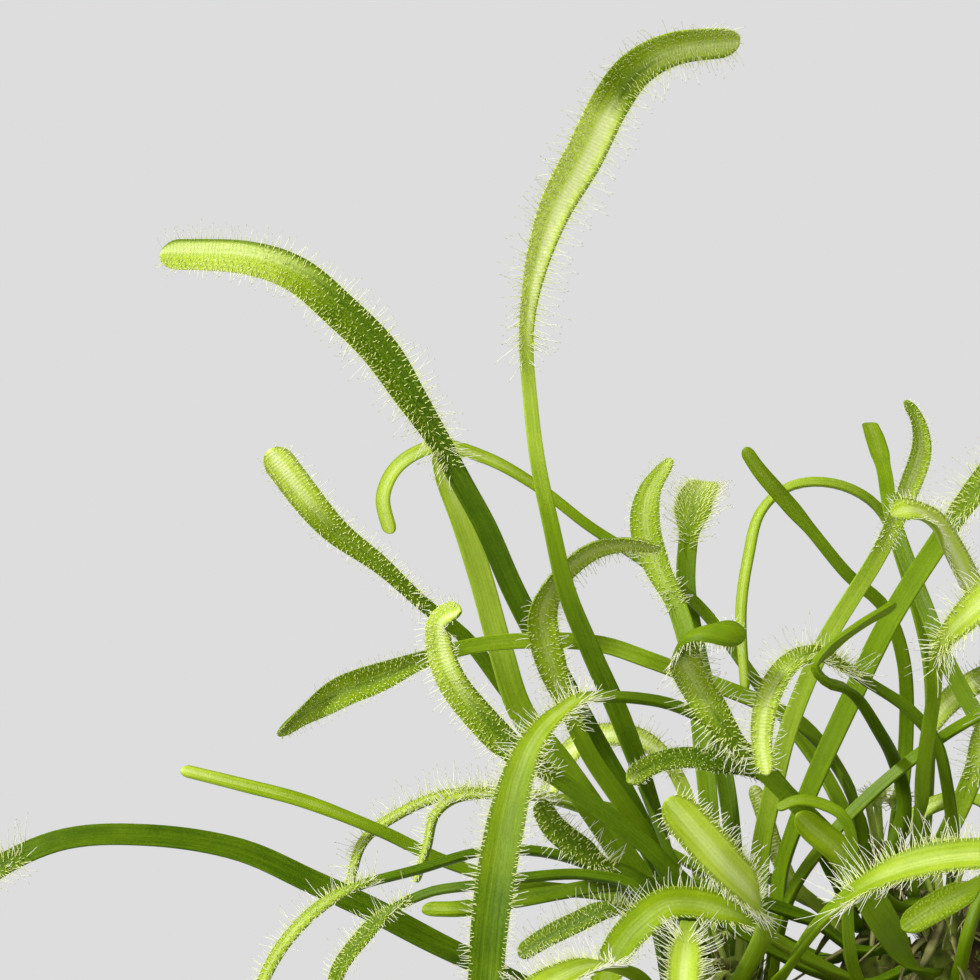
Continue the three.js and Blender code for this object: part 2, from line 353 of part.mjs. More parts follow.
function leafStations(spec) {
  const curve = leafCurve(spec);
  const length = curve.getLength();
  const bladeStart = 1 - spec.blade / length;
  const tipStart = 1 - (0.45 * spec.width) / length;
  const shares = [
    ...stationShares(curve, 0, bladeStart, STALK_STATIONS),
    ...stationShares(curve, bladeStart, tipStart, BLADE_STATIONS).slice(1),
    mix(tipStart, 1, 0.66),
    1,
  ];
  return shares.map((share) => {
    const along = curve.getTangentAt(share);
    const face = faceAt(spec, curve, share);
    face.addScaledVector(along, -face.dot(along)).normalize();
    const across = new THREE.Vector3().crossVectors(along, face).normalize();
    const distance = share * length;
    const width = leafWidth(spec, distance, length);
    const thinned = smooth(length - spec.blade - 4, length - spec.blade + 6, distance);
    const thickness = mix(STALK_THICKNESS, BLADE_THICKNESS, thinned);
    const lift = width * mix(STALK_CHANNEL, spec.channel, thinned);
    return { place: curve.getPointAt(share), along, face, across, width, thickness, lift };
  });
}

// A shallow trough in six points: margin, middle and margin above, then the same below.
function troughRing({ place, face, across, width, thickness, lift }) {
  const half = width / 2;
  const margin = Math.max(MARGIN_THICKNESS, 0.7 * thickness);
  const middle = (thickness - lift) / 2;
  const outline = [
    [-half, middle + lift],
    [0, middle],
    [half, middle + lift],
    [half, middle + lift - margin],
    [0, middle - thickness],
    [-half, middle + lift - margin],
  ];
  return outline.map(([a, n]) => place.clone().addScaledVector(across, a).addScaledVector(face, n));
}

function endCap([a, b, c, d, e, f], atTip) {
  const faces = [[a, b, e], [a, e, f], [b, c, d], [b, d, e]];
  return atTip ? faces : faces.map(([u, v, w]) => [u, w, v]);
}

function clearOfLeaves(point, routes, own = null) {
  return routes.every((stations) => stations === own || stations.slice(1).every((to, i) => {
    const line = new THREE.Line3(stations[i].place, to.place);
    const near = line.closestPointToPoint(point, true, new THREE.Vector3());
    return near.distanceTo(point) > to.width / 2 + HAIR_CLEARANCE;
  }));
}

// A slim spike is raised out of the surface triangle u, v, w: its rings stand at the places given,
// thinning evenly from the radius at the root to the point at the last place.
function raiseSpike([u, v, w], places, radius) {
  const [root, ...rest] = places;
  const ways = [u, v, w].map((corner) => corner.clone().sub(root).normalize());
  const rings = [[u, v, w]];
  [root, ...rest.slice(0, -1)].forEach((place, i) => {
    const thin = radius * (1 - i / rest.length);
    rings.push(ways.map((way) => place.clone().addScaledVector(way, thin)));
  });
  const triangles = [];
  for (let i = 1; i < rings.length; i += 1) {
    for (let k = 0; k < 3; k += 1) {
      const n = (k + 1) % 3;
      triangles.push([rings[i - 1][k], rings[i - 1][n], rings[i][n]]);
      triangles.push([rings[i - 1][k], rings[i][n], rings[i][k]]);
    }
  }
  const [p, q, r] = rings.at(-1);
  const tip = places.at(-1);
  return [...triangles, [p, q, tip], [q, r, tip], [r, p, tip]];
}

// Where a tentacle stands on its triangle, how far it splays from the middle of the leaf, and its
// share of the full length: the long ones splay out at the margin, the short ones stand up.
const SEATS = {
  leftMargin: { order: [0, 2, 1], share: 0.42, splay: -0.85, long: 1 },
  rightMargin: { order: [0, 1, 2], share: 0.42, splay: 0.85, long: 1 },
  leftChannel: { order: [0, 1, 2], share: 0.38, splay: -0.2, long: 0.5 },
  rightChannel: { order: [0, 2, 1], share: 0.38, splay: 0.2, long: 0.5 },
};

function withTentacle(corners, seat, leafPart) {
  const { station, hair, lean, random, routes, own } = leafPart;
  const [u, v, w] = seat.order.map((i) => corners[i]);
  const root = new THREE.Vector3().addScaledVector(u, seat.share).addScaledVector(v, seat.share);
  root.addScaledVector(w, 1 - 2 * seat.share);
  const away = station.across.clone().multiplyScalar(seat.splay).addScaledVector(station.face, 0.62);
  away.addScaledVector(station.along, lean + 0.4 * (random() - 0.5)).normalize();
  const length = hair * seat.long * (0.85 + 0.3 * random());
  const tip = root.clone().addScaledVector(away, length);
  const middle = root.clone().addScaledVector(away, 0.6 * length);
  const free = [tip, middle].every((point) => clearOfLeaves(point, routes, own));
  return free ? raiseSpike(corners, [root, tip], HAIR_RADIUS) : [corners];
}

function leafTriangles(spec, own, routes) {
  const random = seeded(11 + 17 * LEAVES.indexOf(spec));
  const rings = own.map(troughRing);
  const last = rings.length - 1;
  const triangles = [...endCap(rings[0], false), ...endCap(rings[last], true)];
  for (let i = 0; i < last; i += 1) {
    const near = rings[i];
    const far = rings[i + 1];
    for (let k = 2; k < 6; k += 1) {
      const n = (k + 1) % 6;
      triangles.push([near[k], near[n], far[n]], [near[k], far[n], far[k]]);
    }
    const [leftMargin, leftChannel] = [[near[0], near[1], far[0]], [near[1], far[1], far[0]]];
    const [rightMargin, rightChannel] = [[near[2], far[2], near[1]], [near[1], far[2], far[1]]];
    if (spec.hair === 0 || i < STALK_STATIONS || i === last - 1) {
      triangles.push(leftMargin, leftChannel, rightMargin, rightChannel);
      continue;
    }
    const run = (i - STALK_STATIONS) / BLADE_STATIONS;
    const hair = spec.hair * mix(1.08, 0.62, run);
    const lean = 0.75 * smooth(0.8, 1.1, run);
    const leafPart = { station: own[i], hair, lean, random, routes, own };
    triangles.push(...withTentacle(leftMargin, SEATS.leftMargin, leafPart));
    triangles.push(...withTentacle(rightMargin, SEATS.rightMargin, leafPart));
    const left = i % 4 === 1 ? withTentacle(leftChannel, SEATS.leftChannel, leafPart) : [leftChannel];
    triangles.push(...left);
    const right = i % 6 === 1 ? withTentacle(rightChannel, SEATS.rightChannel, leafPart) : [rightChannel];
    triangles.push(...right);
  }
  return triangles;
}

function geometryOf(triangles) {
  const places = new Map();
  const positions = [];
  const index = [];
  for (const corner of triangles.flat()) {
    const key = corner.toArray().map((value) => Math.round(value * 1e4)).join();
    if (!places.has(key)) {
      places.set(key, places.size);
      positions.push(corner.x, corner.y, corner.z);
    }
    index.push(places.get(key));
  }
  const geometry = new THREE.BufferGeometry();
  geometry.setAttribute("position", new THREE.Float32BufferAttribute(positions, 3));
  geometry.setIndex(index);
  geometry.computeVertexNormals();
  return geometry;
}

// A closed profile of [radius, height] points, from the axis round to the axis, turned about Z.
function turned(profile, sides, x = 0, y = 0) {
  const rings = profile.map(([radius, height]) =>
    Array.from({ length: sides }, (_, i) => {
      const angle = (2 * Math.PI * i) / sides;
      return new THREE.Vector3(x + radius * Math.cos(angle), y + radius * Math.sin(angle), height);
    }));
  const triangles = [];
  for (let j = 0; j < rings.length - 1; j += 1) {
    for (let i = 0; i < sides; i += 1) {
      const n = (i + 1) % sides;
      if (profile[j][0] > 0) triangles.push([rings[j][i], rings[j][n], rings[j + 1][n]]);
      if (profile[j + 1][0] > 0) triangles.push([rings[j][i], rings[j + 1][n], rings[j + 1][i]]);
    }
  }
  return triangles;
}

function wallRadius(height) {
  return mix(POT_FOOT_RADIUS, POT_TOP_RADIUS, height / POT_HEIGHT);
}

function potTriangles() {
  const lipFoot = POT_HEIGHT - LIP_HEIGHT;
  const lip = POT_TOP_RADIUS + LIP_OVERHANG;
  return turned([
    [0, 0],
    [POT_FOOT_RADIUS - 1, 0],
    [wallRadius(1), 1],
    [wallRadius(lipFoot), lipFoot],
    [lip - 0.4, lipFoot],
    [lip, lipFoot + 0.4],
    [lip, POT_HEIGHT - 0.8],
    [lip - 0.8, POT_HEIGHT],
    [wallRadius(POT_HEIGHT) - POT_WALL, POT_HEIGHT],
    [wallRadius(POT_FLOOR) - POT_WALL, POT_FLOOR],
    [0, POT_FLOOR],
  ], POT_SIDES);
}

// Peat that is nearly level by the wall and rises to a round-topped hummock under the crowns.
function soilHeight(x, y) {
  const away = Math.hypot(x - HUMMOCK.x, y - HUMMOCK.y) / HUMMOCK.spread;
  const edge = Math.hypot(x, y) / (wallRadius(SOIL_EDGE_HEIGHT) - POT_WALL);
  const mound = HUMMOCK.rise * Math.exp(-(away ** 2.3)) * (1 - smooth(0.7, 1, edge));
  const lumps = 0.6 * Math.sin(0.55 * x + 1) * Math.cos(0.48 * y) + 0.45 * Math.sin(0.9 * y - 0.6 * x);
  return SOIL_EDGE_HEIGHT + mound + lumps * (1 - smooth(0.85, 1, edge));
}

// The rings of the soil close in on the top of the hummock, so that it comes out round.
function soilTriangles() {
  const bottom = POT_FLOOR + GAP;
  const inside = (height) => wallRadius(height) - POT_WALL - GAP;
  const ring = (radius, share, heightAt) => Array.from({ length: SOIL_SIDES }, (_, i) => {
    const angle = (2 * Math.PI * i) / SOIL_SIDES;
    const x = mix(HUMMOCK.x, radius * Math.cos(angle), share);
    const y = mix(HUMMOCK.y, radius * Math.sin(angle), share);
    return new THREE.Vector3(x, y, heightAt(x, y));
  });
  const edge = inside(SOIL_EDGE_HEIGHT);
  const rings = [
    ring(inside(bottom), 1, () => bottom),
    ring(edge, 1, () => SOIL_EDGE_HEIGHT),
    ...[0.94, 0.84, 0.72, 0.6, 0.47, 0.32, 0.16].map((share) => ring(edge, share, soilHeight)),
  ];
  const under = new THREE.Vector3(0, 0, bottom);
  const top = new THREE.Vector3(HUMMOCK.x, HUMMOCK.y, soilHeight(HUMMOCK.x, HUMMOCK.y));
  const triangles = [];
  for (let i = 0; i < SOIL_SIDES; i += 1) {
    const n = (i + 1) % SOIL_SIDES;
    triangles.push([rings[0][n], rings[0][i], under], [rings.at(-1)[i], rings.at(-1)[n], top]);
    for (let j = 0; j < rings.length - 1; j += 1) {
      triangles.push([rings[j][i], rings[j][n], rings[j + 1][n]]);
      triangles.push([rings[j][i], rings[j + 1][n], rings[j + 1][i]]);
    }
  }
  return triangles;
}

function solidOf(triangles) {
  const geometry = geometryOf(triangles);
  return new wasm.Manifold(new wasm.Mesh({
    numProp: 3,
    vertProperties: new Float32Array(geometry.attributes.position.array),
    triVerts: new Uint32Array(geometry.index.array),
  }));
}

function geometryOfSolid(solid) {
  const { vertProperties, triVerts, numProp } = solid.getMesh();
  const corner = (i) => new THREE.Vector3(...vertProperties.slice(i * numProp, i * numProp + 3));
  const triangles = [];
  for (let i = 0; i < triVerts.length; i += 3) {
    triangles.push([triVerts[i], triVerts[i + 1], triVerts[i + 2]].map(corner));
  }
  return geometryOf(triangles);
}

function soilGeometry() {
  let soil = solidOf(soilTriangles());
  for (const { x, y, foot, top } of CROWNS) {
    const hole = [[0, foot - GAP], [STEM_RADIUS + GAP, foot - GAP], [STEM_RADIUS + GAP, top], [0, top]];
    soil = soil.subtract(solidOf(turned(hole, STEM_SIDES, x, y)));
  }
  return geometryOfSolid(soil);
}

function middleOf(corners) {
  return corners.reduce((sum, corner) => sum.addScaledVector(corner, 1 / 3), new THREE.Vector3());
}

// A withered leaf base hangs from the side of the stem and stays above the soil.
function withDeadBase(corners, crown, routes, random) {
  const root = middleOf(corners);
  const away = new THREE.Vector3(root.x - crown.x, root.y - crown.y, 0).normalize();
  away.z = -DEAD_BASE.drop * (0.6 + 0.8 * random());
  const tip = root.clone().addScaledVector(away, DEAD_BASE.length * (0.7 + 0.4 * random()) / away.length());
  tip.z = Math.max(tip.z, soilHeight(tip.x, tip.y) + 1);
  const free = [0.25, 0.5, 0.75, 1].every((t) => clearOfLeaves(root.clone().lerp(tip, t), routes));
  const bare = root.z < soilHeight(root.x, root.y) + 2 || !free;
  return bare ? [corners] : raiseSpike(corners, [root, tip], DEAD_BASE.radius);
}

// A young leaf stands on the top of the stem, leans out and bends over at its end.
function withYoungLeaf(corners, crown, routes, random) {
  const root = middleOf(corners);
  const lean = new THREE.Vector3(root.x - crown.x, root.y - crown.y, 0).normalize();
  lean.multiplyScalar(YOUNG_LEAF.lean).add(new THREE.Vector3(0, 0, 1));
  const height = YOUNG_LEAF.length * (0.6 + 0.5 * random());
  const knee = root.clone().addScaledVector(lean, 0.65 * height);
  const tip = root.clone().addScaledVector(lean, height);
  tip.add(new THREE.Vector3(random() - 0.5, random() - 0.5, 0).multiplyScalar(3));
  const free = [knee, tip].every((place) => clearOfLeaves(place, routes));
  return free ? raiseSpike(corners, [root, knee, tip], YOUNG_LEAF.radius) : [corners];
}

function crownTriangles(crown, routes) {
  const random = seeded(5 + CROWNS.indexOf(crown));
  const { x, y, foot, top } = crown;
  const side = [foot, top - 12, top - 6.5, top - 1.5].map((height) => [STEM_RADIUS, height]);
  const profile = [[0, foot], ...side, [0.75 * STEM_RADIUS, top], [0, top]];
  const triangles = turned(profile, STEM_SIDES, x, y);
  return triangles.flatMap((corners, i) => {
    const lift = middleOf(corners).z;
    if (lift > top - 0.2 && i % 3 === 0) return withYoungLeaf(corners, crown, routes, random);
    if (lift > top - 12 && lift < top - 2 && i % 4 === 0) return withDeadBase(corners, crown, routes, random);
    return [corners];
  });
}

const potPlastic = { color: 0x2c2f31, roughness: 0.55, metalness: 0 };
const peat = { color: 0x4a3a26, roughness: 0.95, metalness: 0 };
const stemSkin = { color: 0x6c6a2c, roughness: 0.8, metalness: 0 };
const leafSkin = { color: 0x8fb52a, roughness: 0.45, metalness: 0 };

const group = new THREE.Group();

function addMesh(name, geometry, finish) {
  const mesh = new THREE.Mesh(geometry, new THREE.MeshStandardMaterial(finish));
  mesh.name = name;
  group.add(mesh);
}

const routes = LEAVES.map(leafStations);
addMesh("pot", geometryOf(potTriangles()), potPlastic);
addMesh("peat", soilGeometry(), peat);
for (const crown of CROWNS) {
  addMesh(crown.name, geometryOf(crownTriangles(crown, routes)), stemSkin);
}
LEAVES.forEach((spec, i) => {
  addMesh(spec.name, geometryOf(leafTriangles(spec, routes[i], routes)), leafSkin);
});

export default group;
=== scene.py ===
import json
import math
import bpy
import numpy as np
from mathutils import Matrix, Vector

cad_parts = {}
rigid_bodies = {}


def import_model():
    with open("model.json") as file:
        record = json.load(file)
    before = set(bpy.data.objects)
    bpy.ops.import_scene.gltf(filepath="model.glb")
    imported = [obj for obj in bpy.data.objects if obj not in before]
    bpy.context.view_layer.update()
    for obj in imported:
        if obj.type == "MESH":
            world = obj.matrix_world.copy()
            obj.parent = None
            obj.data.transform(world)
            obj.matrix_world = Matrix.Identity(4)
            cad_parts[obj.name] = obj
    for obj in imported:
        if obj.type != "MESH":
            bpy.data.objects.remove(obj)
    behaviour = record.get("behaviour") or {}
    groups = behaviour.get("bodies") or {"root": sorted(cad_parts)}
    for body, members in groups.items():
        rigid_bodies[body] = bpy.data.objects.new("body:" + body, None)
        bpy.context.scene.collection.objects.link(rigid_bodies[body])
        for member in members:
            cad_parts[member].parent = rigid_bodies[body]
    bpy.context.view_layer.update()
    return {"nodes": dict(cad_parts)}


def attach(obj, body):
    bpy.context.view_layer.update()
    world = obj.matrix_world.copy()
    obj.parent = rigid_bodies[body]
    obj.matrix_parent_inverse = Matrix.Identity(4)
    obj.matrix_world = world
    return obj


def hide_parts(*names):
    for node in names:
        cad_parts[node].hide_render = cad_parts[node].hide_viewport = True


# A potted Cape sundew. Sizes are worked out in mm and put into the meshes in metres.
# Z is up, the plant faces -Y and the pot stands on Z = 0 about the Z axis.
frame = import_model()
print("frame loaded:", len(frame["nodes"]), "solids")

metre = 0.001
random = np.random.default_rng(24)
goldenAngle = 2.4  # radians from one leaf of a spiral to the next
upward = np.array([0, 0, 1.0])


def smooth(low, high, value):  # t²(3 − 2t), where t = (value − low) / (high − low), kept in 0..1
    t = np.clip((value - low) / (high - low), 0, 1)
    return t * t * (3 - 2 * t)


def mix(a, b, t):  # a + (b − a) t
    return a + (b - a) * t


def unit(vectors):  # v / |v|
    return vectors / np.maximum(np.linalg.norm(vectors, axis=-1, keepdims=True), 1e-9)


def circle(count):  # the angles 2π k / count
    return 2 * math.pi * np.arange(count) / count


def linear(hexText):  # sRGB hex to linear: ((c + 0.055) / 1.055) ^ 2.4, or c / 12.92 when dark
    channels = np.array([int(hexText[i:i + 2], 16) for i in (1, 3, 5)]) / 255
    return (*np.where(channels > 0.04045, ((channels + 0.055) / 1.055) ** 2.4, channels / 12.92), 1)


def lattice(cells, seed):  # a fixed value in 0..1 for every whole-number cell: frac(43758.5 sin(c · k))
    spread = cells @ np.array([12.9898, 78.233, 37.719])[:cells.shape[-1]]
    return np.modf(np.abs(np.sin(spread + seed) * 43758.5453))[0]


def noise(points, size, octaves, seed):
    # Value noise about 0: values of the cells blended by t²(3 − 2t), added up over octaves of half the
    # size and half the height.
    total, height = 0, 1
    axes = points.shape[-1]
    corners = np.array(np.meshgrid(*[[0, 1]] * axes, indexing="ij")).reshape(axes, -1).T
    for octave in range(octaves):
        place = points / size * 2 ** octave
        cell = np.floor(place)
        share = smooth(0, 1, place - cell)
        for corner in corners:
            weight = np.prod(np.where(corner, share, 1 - share), axis=-1)
            total = total + height * weight * (2 * lattice(cell + corner, seed + octave) - 1)
        height /= 2
    return total


def gridFaces(rows, columns):  # quads between neighbouring rings of a grid: k, k + 1 and the two above them
    row, column = np.meshgrid(np.arange(rows - 1), np.arange(columns), indexing="ij")
    near, far = row * columns, (row + 1) * columns
    after = (column + 1) % columns
    return np.stack([near + column, near + after, far + after, far + column], -1).reshape(-1, 4)


def fan(ring, middle, turn):  # triangles from each edge of a ring to one point
    after = np.roll(ring, -1)
    pair = (after, ring) if turn else (ring, after)
    return np.stack([*pair, np.full(len(ring), middle)], -1)


def closedFaces(rows, columns):
    # A grid of rings, closed by a fan at each end to the two points that follow the grid.
    ring, count = np.arange(columns), rows * columns
    return [gridFaces(rows, columns), fan(ring, count, True), fan(count - columns + ring, count + 1, False)]


def closedShape(points, faces, material=0, **fields):
    # Points in mm, faces, the number of the material and vectors for the attributes. The faces are turned
    # so that the volume, the sum of a · (b × c) / 6 over the triangles, is above zero.
    centred = points - points.mean(0)
    volume = 0
    for group in faces:
        for k in range(1, group.shape[1] - 1):
            a, b, c = centred[group[:, 0]], centred[group[:, k]], centred[group[:, k + 1]]
            volume += np.einsum("ij,ij->", a, np.cross(b, c))
    faces = [group if volume > 0 else group[:, ::-1] for group in faces]
    return {"points": points, "faces": faces, "material": material, **fields}


def makePiece(name, node, shapes, materials):
    # One object from several closed shapes. A shape without an attribute that another has gets zeros.
    fields = sorted({field for shape in shapes for field in shape if field.startswith("leaf")})
    points = np.concatenate([shape["points"] for shape in shapes])
    values = {field: np.concatenate([shape.get(field, np.zeros_like(shape["points"])) for shape in shapes])
              for field in fields}
    corners, sizes, numbers, start = [], [], [], 0
    for shape in shapes:
        for group in shape["faces"]:
            corners.append((group + start).ravel())
            sizes.append(np.full(len(group), group.shape[1]))
            numbers.append(np.full(len(group), shape["material"]))
        start += len(shape["points"])
    corners, sizes, numbers = np.concatenate(corners), np.concatenate(sizes), np.concatenate(numbers)
    mesh = bpy.data.meshes.new(name)
    mesh.vertices.add(len(points))
    mesh.vertices.foreach_set("co", (points * metre).astype(np.float32).ravel())
    mesh.loops.add(len(corners))
    mesh.loops.foreach_set("vertex_index", corners.astype(np.int32))
    mesh.polygons.add(len(sizes))
    mesh.polygons.foreach_set("loop_start", (np.cumsum(sizes) - sizes).astype(np.int32))
    mesh.polygons.foreach_set("material_index", numbers.astype(np.int32))
    for field, vectors in values.items():
        mesh.attributes.new(field, "FLOAT_VECTOR", "POINT").data.foreach_set(
            "vector", vectors.astype(np.float32).ravel())
    mesh.update(calc_edges=True)
    mesh.validate()
    mesh.shade_smooth()
    for material in materials:
        mesh.materials.append(material)
    piece = bpy.data.objects.new(name, mesh)
    bpy.context.scene.collection.objects.link(piece)
    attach(piece, "root")
    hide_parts(node)


def addNode(tree, kind, settings=None, links=None):
    # A shader node with its settings, where "stops" are a ramp's places and colours. Its inputs are set to
    # values or to colours in hex text, or linked to nodes or sockets.
    node = tree.nodes.new("ShaderNode" + kind)
    for name, value in (settings or {}).items():
        if name == "stops":
            ramp = node.color_ramp.elements
            while len(ramp) < len(value):
                ramp.new(1)
            for element, (place, colour) in zip(ramp, value):
                element.position, element.color = place, linear(colour)
        else:
            setattr(node, name, value)
    for name, value in (links or {}).items():
        named = [socket for socket in node.inputs if socket.name == name and socket.enabled]
        socket = node.inputs[name] if isinstance(name, int) else named[0]
        if isinstance(value, bpy.types.Node):
            value = next(output for output in value.outputs if output.enabled)
        if isinstance(value, bpy.types.NodeSocket):
            tree.links.new(value, socket)
        else:
            socket.default_value = linear(value) if isinstance(value, str) else value
    return node


# settings that many nodes share: a · b, a · b + c, a mix of colours and a blend by t²(3 − 2t)
times, timesPlus = {"operation": "MULTIPLY"}, {"operation": "MULTIPLY_ADD"}
colourMix, eased = {"data_type": "RGBA"}, {"interpolation_type": "SMOOTHSTEP"}


def newMaterial(name, colour, settings):
    # A Principled surface with fixed settings; colour(tree) gives what is linked to it.
    material = bpy.data.materials.new(name)
    material.use_nodes = True
    tree = material.node_tree
    tree.nodes.clear()
    shader = addNode(tree, "BsdfPrincipled", None, {**settings, **colour(tree)})
    addNode(tree, "OutputMaterial", None, {"Surface": shader})
    return material


# The leaves: flat stalks with lengthwise grooves that pass into narrow channelled blades.
leafLook = {
    "stalkThickness": 1.15, "bladeThickness": 0.85, "stalkChannel": 0.13,  # channels are shares of the width
    "stalkStep": 1.4, "bladeStep": 0.7, "around": 28, "grooves": 3, "grooveDepth": 0.05,
    "tipShare": 0.55, "ribStep": 0.45,  # length of the round tip over the blade's width; mm between ribs
    # rows of tentacles: (share of the half width, step in mm, share of the full length)
    "tentacleRows": ((1.0, 0.5, 1.0), (0.88, 0.65, 0.5), (0.68, 0.75, 0.36), (0.46, 0.85, 0.32),
                     (0.23, 1.0, 0.3), (0.0, 1.4, 0.28)),
    "tentacleRadius": 0.044, "shortStout": 1.3, "clearance": 0.35, "tuft": 15, "waver": 0.24,
    "smoothBelow": 0.15, "outerRow": 0.8, "denser": 0.7,  # blades below this relief have outer rows only
    # the palest green colours the pale ribs, and the channel, where it is also a painted highlight
    "deepGreen": "#3f5c00", "bladeGreen": "#819a08", "youngGreen": "#bdd146", "paleAndHighlight": "#e6edb0",
    "stalkDeep": "#3a5500", "stalkGreen": "#708c0c", "stalkPale": "#adc146", "underGreen": "#6b880e",
    "ribGreen": "#9db52e", "tentacleFoot": "#c8d860", "shortStalk": "#d8e08c", "longStalk": "#eff0cf",
    "shortGland": "#e3e79a", "gland": "#a08d68",
}
# x, y, height of the foot in the soil and height of the top of each short stem
crowns = {
    "left": (-20, 2, 60, 90.5), "back": (-1, 11, 66, 104), "front": (5, -9, 66, 100.5),
    "right": (22, 2, 70, 109.5), "low": (-24, -14, 60, 85.5),
}
stemRadius = 3
footGap = 0.3  # between a stem and the feet of its leaves

# How green each leaf is along it, with painted light and shade: (share of the length, tone from -1 deep
# green to 1 yellow-green). Parts that turn from the light or lie in the shadow of other leaves are painted
# darker, such as the bend of leaf 1 and the foot of its stalk. Lit parts are painted lighter, such as the
# tip of leaf 2.
leafTonesAndShading = {
    1: ((0, -0.8), (0.35, -0.7), (0.52, 0.4), (0.62, 0.7), (0.75, 1.1), (0.84, 1.1),
        (0.875, -0.5), (0.92, 0.1), (1, 0.4)),
    2: ((0, -0.9), (0.58, -0.9), (0.8, -0.9), (0.86, 0), (0.92, 0.6), (1, 0.4)),
    3: ((0, -0.7), (0.7, -0.7), (0.77, -0.7), (0.86, -0.5), (0.92, 0.6), (1, 1.1)),
    4: ((0, -0.4), (0.6, -0.2), (0.85, 0.3), (1, 0.5)),
    5: ((0, -0.7), (0.4, -0.4), (0.7, 0.4), (1, 0.5)),
    6: ((0, -0.6), (0.5, 0.1), (0.7, 0), (0.76, -0.5), (0.9, -0.3), (1, -0.3)),
    7: ((0, -0.7), (0.68, -0.8), (0.77, -0.7), (0.84, 0.1), (0.9, 0.7), (1, 0.5)),
    8: ((0, -0.7), (0.5, -0.6), (0.56, 0.3), (0.66, -0.1), (0.75, -0.4), (0.85, -0.8), (1, -1)),
    9: ((0, -0.7), (0.5, -0.4), (0.57, -0.1), (0.72, 0.1), (0.82, 0.4), (1, 0.4)),
    10: ((0, -0.7), (0.55, -0.6), (0.62, -0.6), (0.7, -0.1), (0.79, 0.2), (0.83, -0.6), (1, -0.5)),
    11: ((0, -0.6), (0.6, -0.5), (0.75, -0.2), (0.87, 0.4), (1, 0.5)),
    12: ((0, -0.7), (0.7, -0.7), (0.8, -0.3), (1, -0.4)),
    13: ((0, -0.7), (0.3, -0.3), (0.6, -0.2), (0.7, -0.5), (1, -0.4)),
    14: ((0, -0.8), (0.6, -0.9), (0.85, -0.9), (0.95, -0.4), (1, 0.5)),
    15: ((0, -0.5), (0.6, 0.3), (0.72, 0.8), (0.85, 0.6), (1, 0.3)),
    16: ((0, -0.6), (0.5, 0.1), (1, -0.2)),
    17: ((0, 0), (1, 0.6)),
    18: ((0, -0.6), (0.45, -0.2), (0.6, 0.2), (1, 0.3)),
    19: ((0, 0), (0.5, 0.8), (0.7, 1.2), (0.85, 1.1), (1, 0.3)),
    20: ((0, -0.4), (0.35, 0.3), (0.7, 0.3), (0.82, 0.2), (0.9, 0.3), (1, -0.4)),
    21: ((0, -0.3), (1, -0.3)),
    22: ((0, -0.5), (0.9, -0.5), (1, -0.1)),
    23: ((0, -0.6), (0.5, -0.1), (0.68, 0.3), (1, 0.3)),
    24: ((0, -0.5), (0.7, 0), (0.85, 0), (1, 0.3)),
    25: ((0, -0.7), (0.7, -0.6), (0.85, -0.2), (1, 0.3)),
    26: ((0, -0.9), (1, -0.7)),
    27: ((0, -0.7), (0.6, -0.4), (0.9, 0.1), (1, 0.7)),
    28: ((0, -0.3), (0.6, 0.2), (1, 0.3)),
    29: ((0, -0.6), (0.6, 0.1), (1, 0.5)),
    30: ((0, -0.8), (0.66, -0.8), (0.72, 0.1), (1, 0.3)),
    31: ((0, -0.8), (0.7, -0.8), (0.8, -0.6), (1, -0.6)),
    32: ((0, -0.8), (0.9, -0.7), (0.95, 0.1), (1, 0.2)),
    33: ((0, -0.8), (1, -0.8)),
    34: ((0, -0.8), (1, -0.6)),
    35: ((0, -0.4), (1, 0.4)),
    36: ((0, -0.5), (1, -0.4)),
    37: ((0, -0.6), (0.4, -0.2), (0.55, 0.4), (1, 0.8)),
    38: ((0, -0.4), (1, -0.1)),
    39: ((0, -0.4), (0.7, -0.3), (1, 0)),
    40: ((0, 0), (0.5, 0.6), (1, 1)),
    41: ((0, 0.2), (1, 1)),
    42: ((0, -0.2), (1, 0.4)),
    43: ((0, -0.3), (1, -0.2)),
    45: ((0, -0.2), (1, -0.1)),
    46: ((0, 0), (1, 0.4)),
    50: ((0, 0), (1, 0.5)),
}
usualTone = ((0, -0.7), (0.5, -0.4), (0.8, 0.2), (1, 0.3))
# Where the pale channel, partly a painted highlight, lies across the blade, from -1 to 1; it is in the
# middle of the others.
channelPlace = {1: 0.3, 2: 0.45, 7: 0.2}
# Longer or shorter tentacles than the leaf's row below states, in mm.
fringe = {8: 2.2, 18: 3.6, 28: 3.0, 29: 3.0}
# Blades that are smoother than the rest: the share of ribs, dots and inner tentacles that they keep.
smoothLeaves = {
    2: 0.8, 3: 0.6, 4: 0.05, 5: 0.05, 8: 0.1, 9: 0.2, 12: 0.05, 15: 0.1, 16: 0.1, 17: 0.1, 18: 0.1, 19: 0.15,
    21: 0.05, 22: 0.05, 23: 0.05, 24: 0.2, 27: 0.05, 28: 0.2, 29: 0.2, 30: 0.2, 32: 0.05, 35: 0.1, 36: 0.05,
    37: 0.25, 38: 0.05,
}

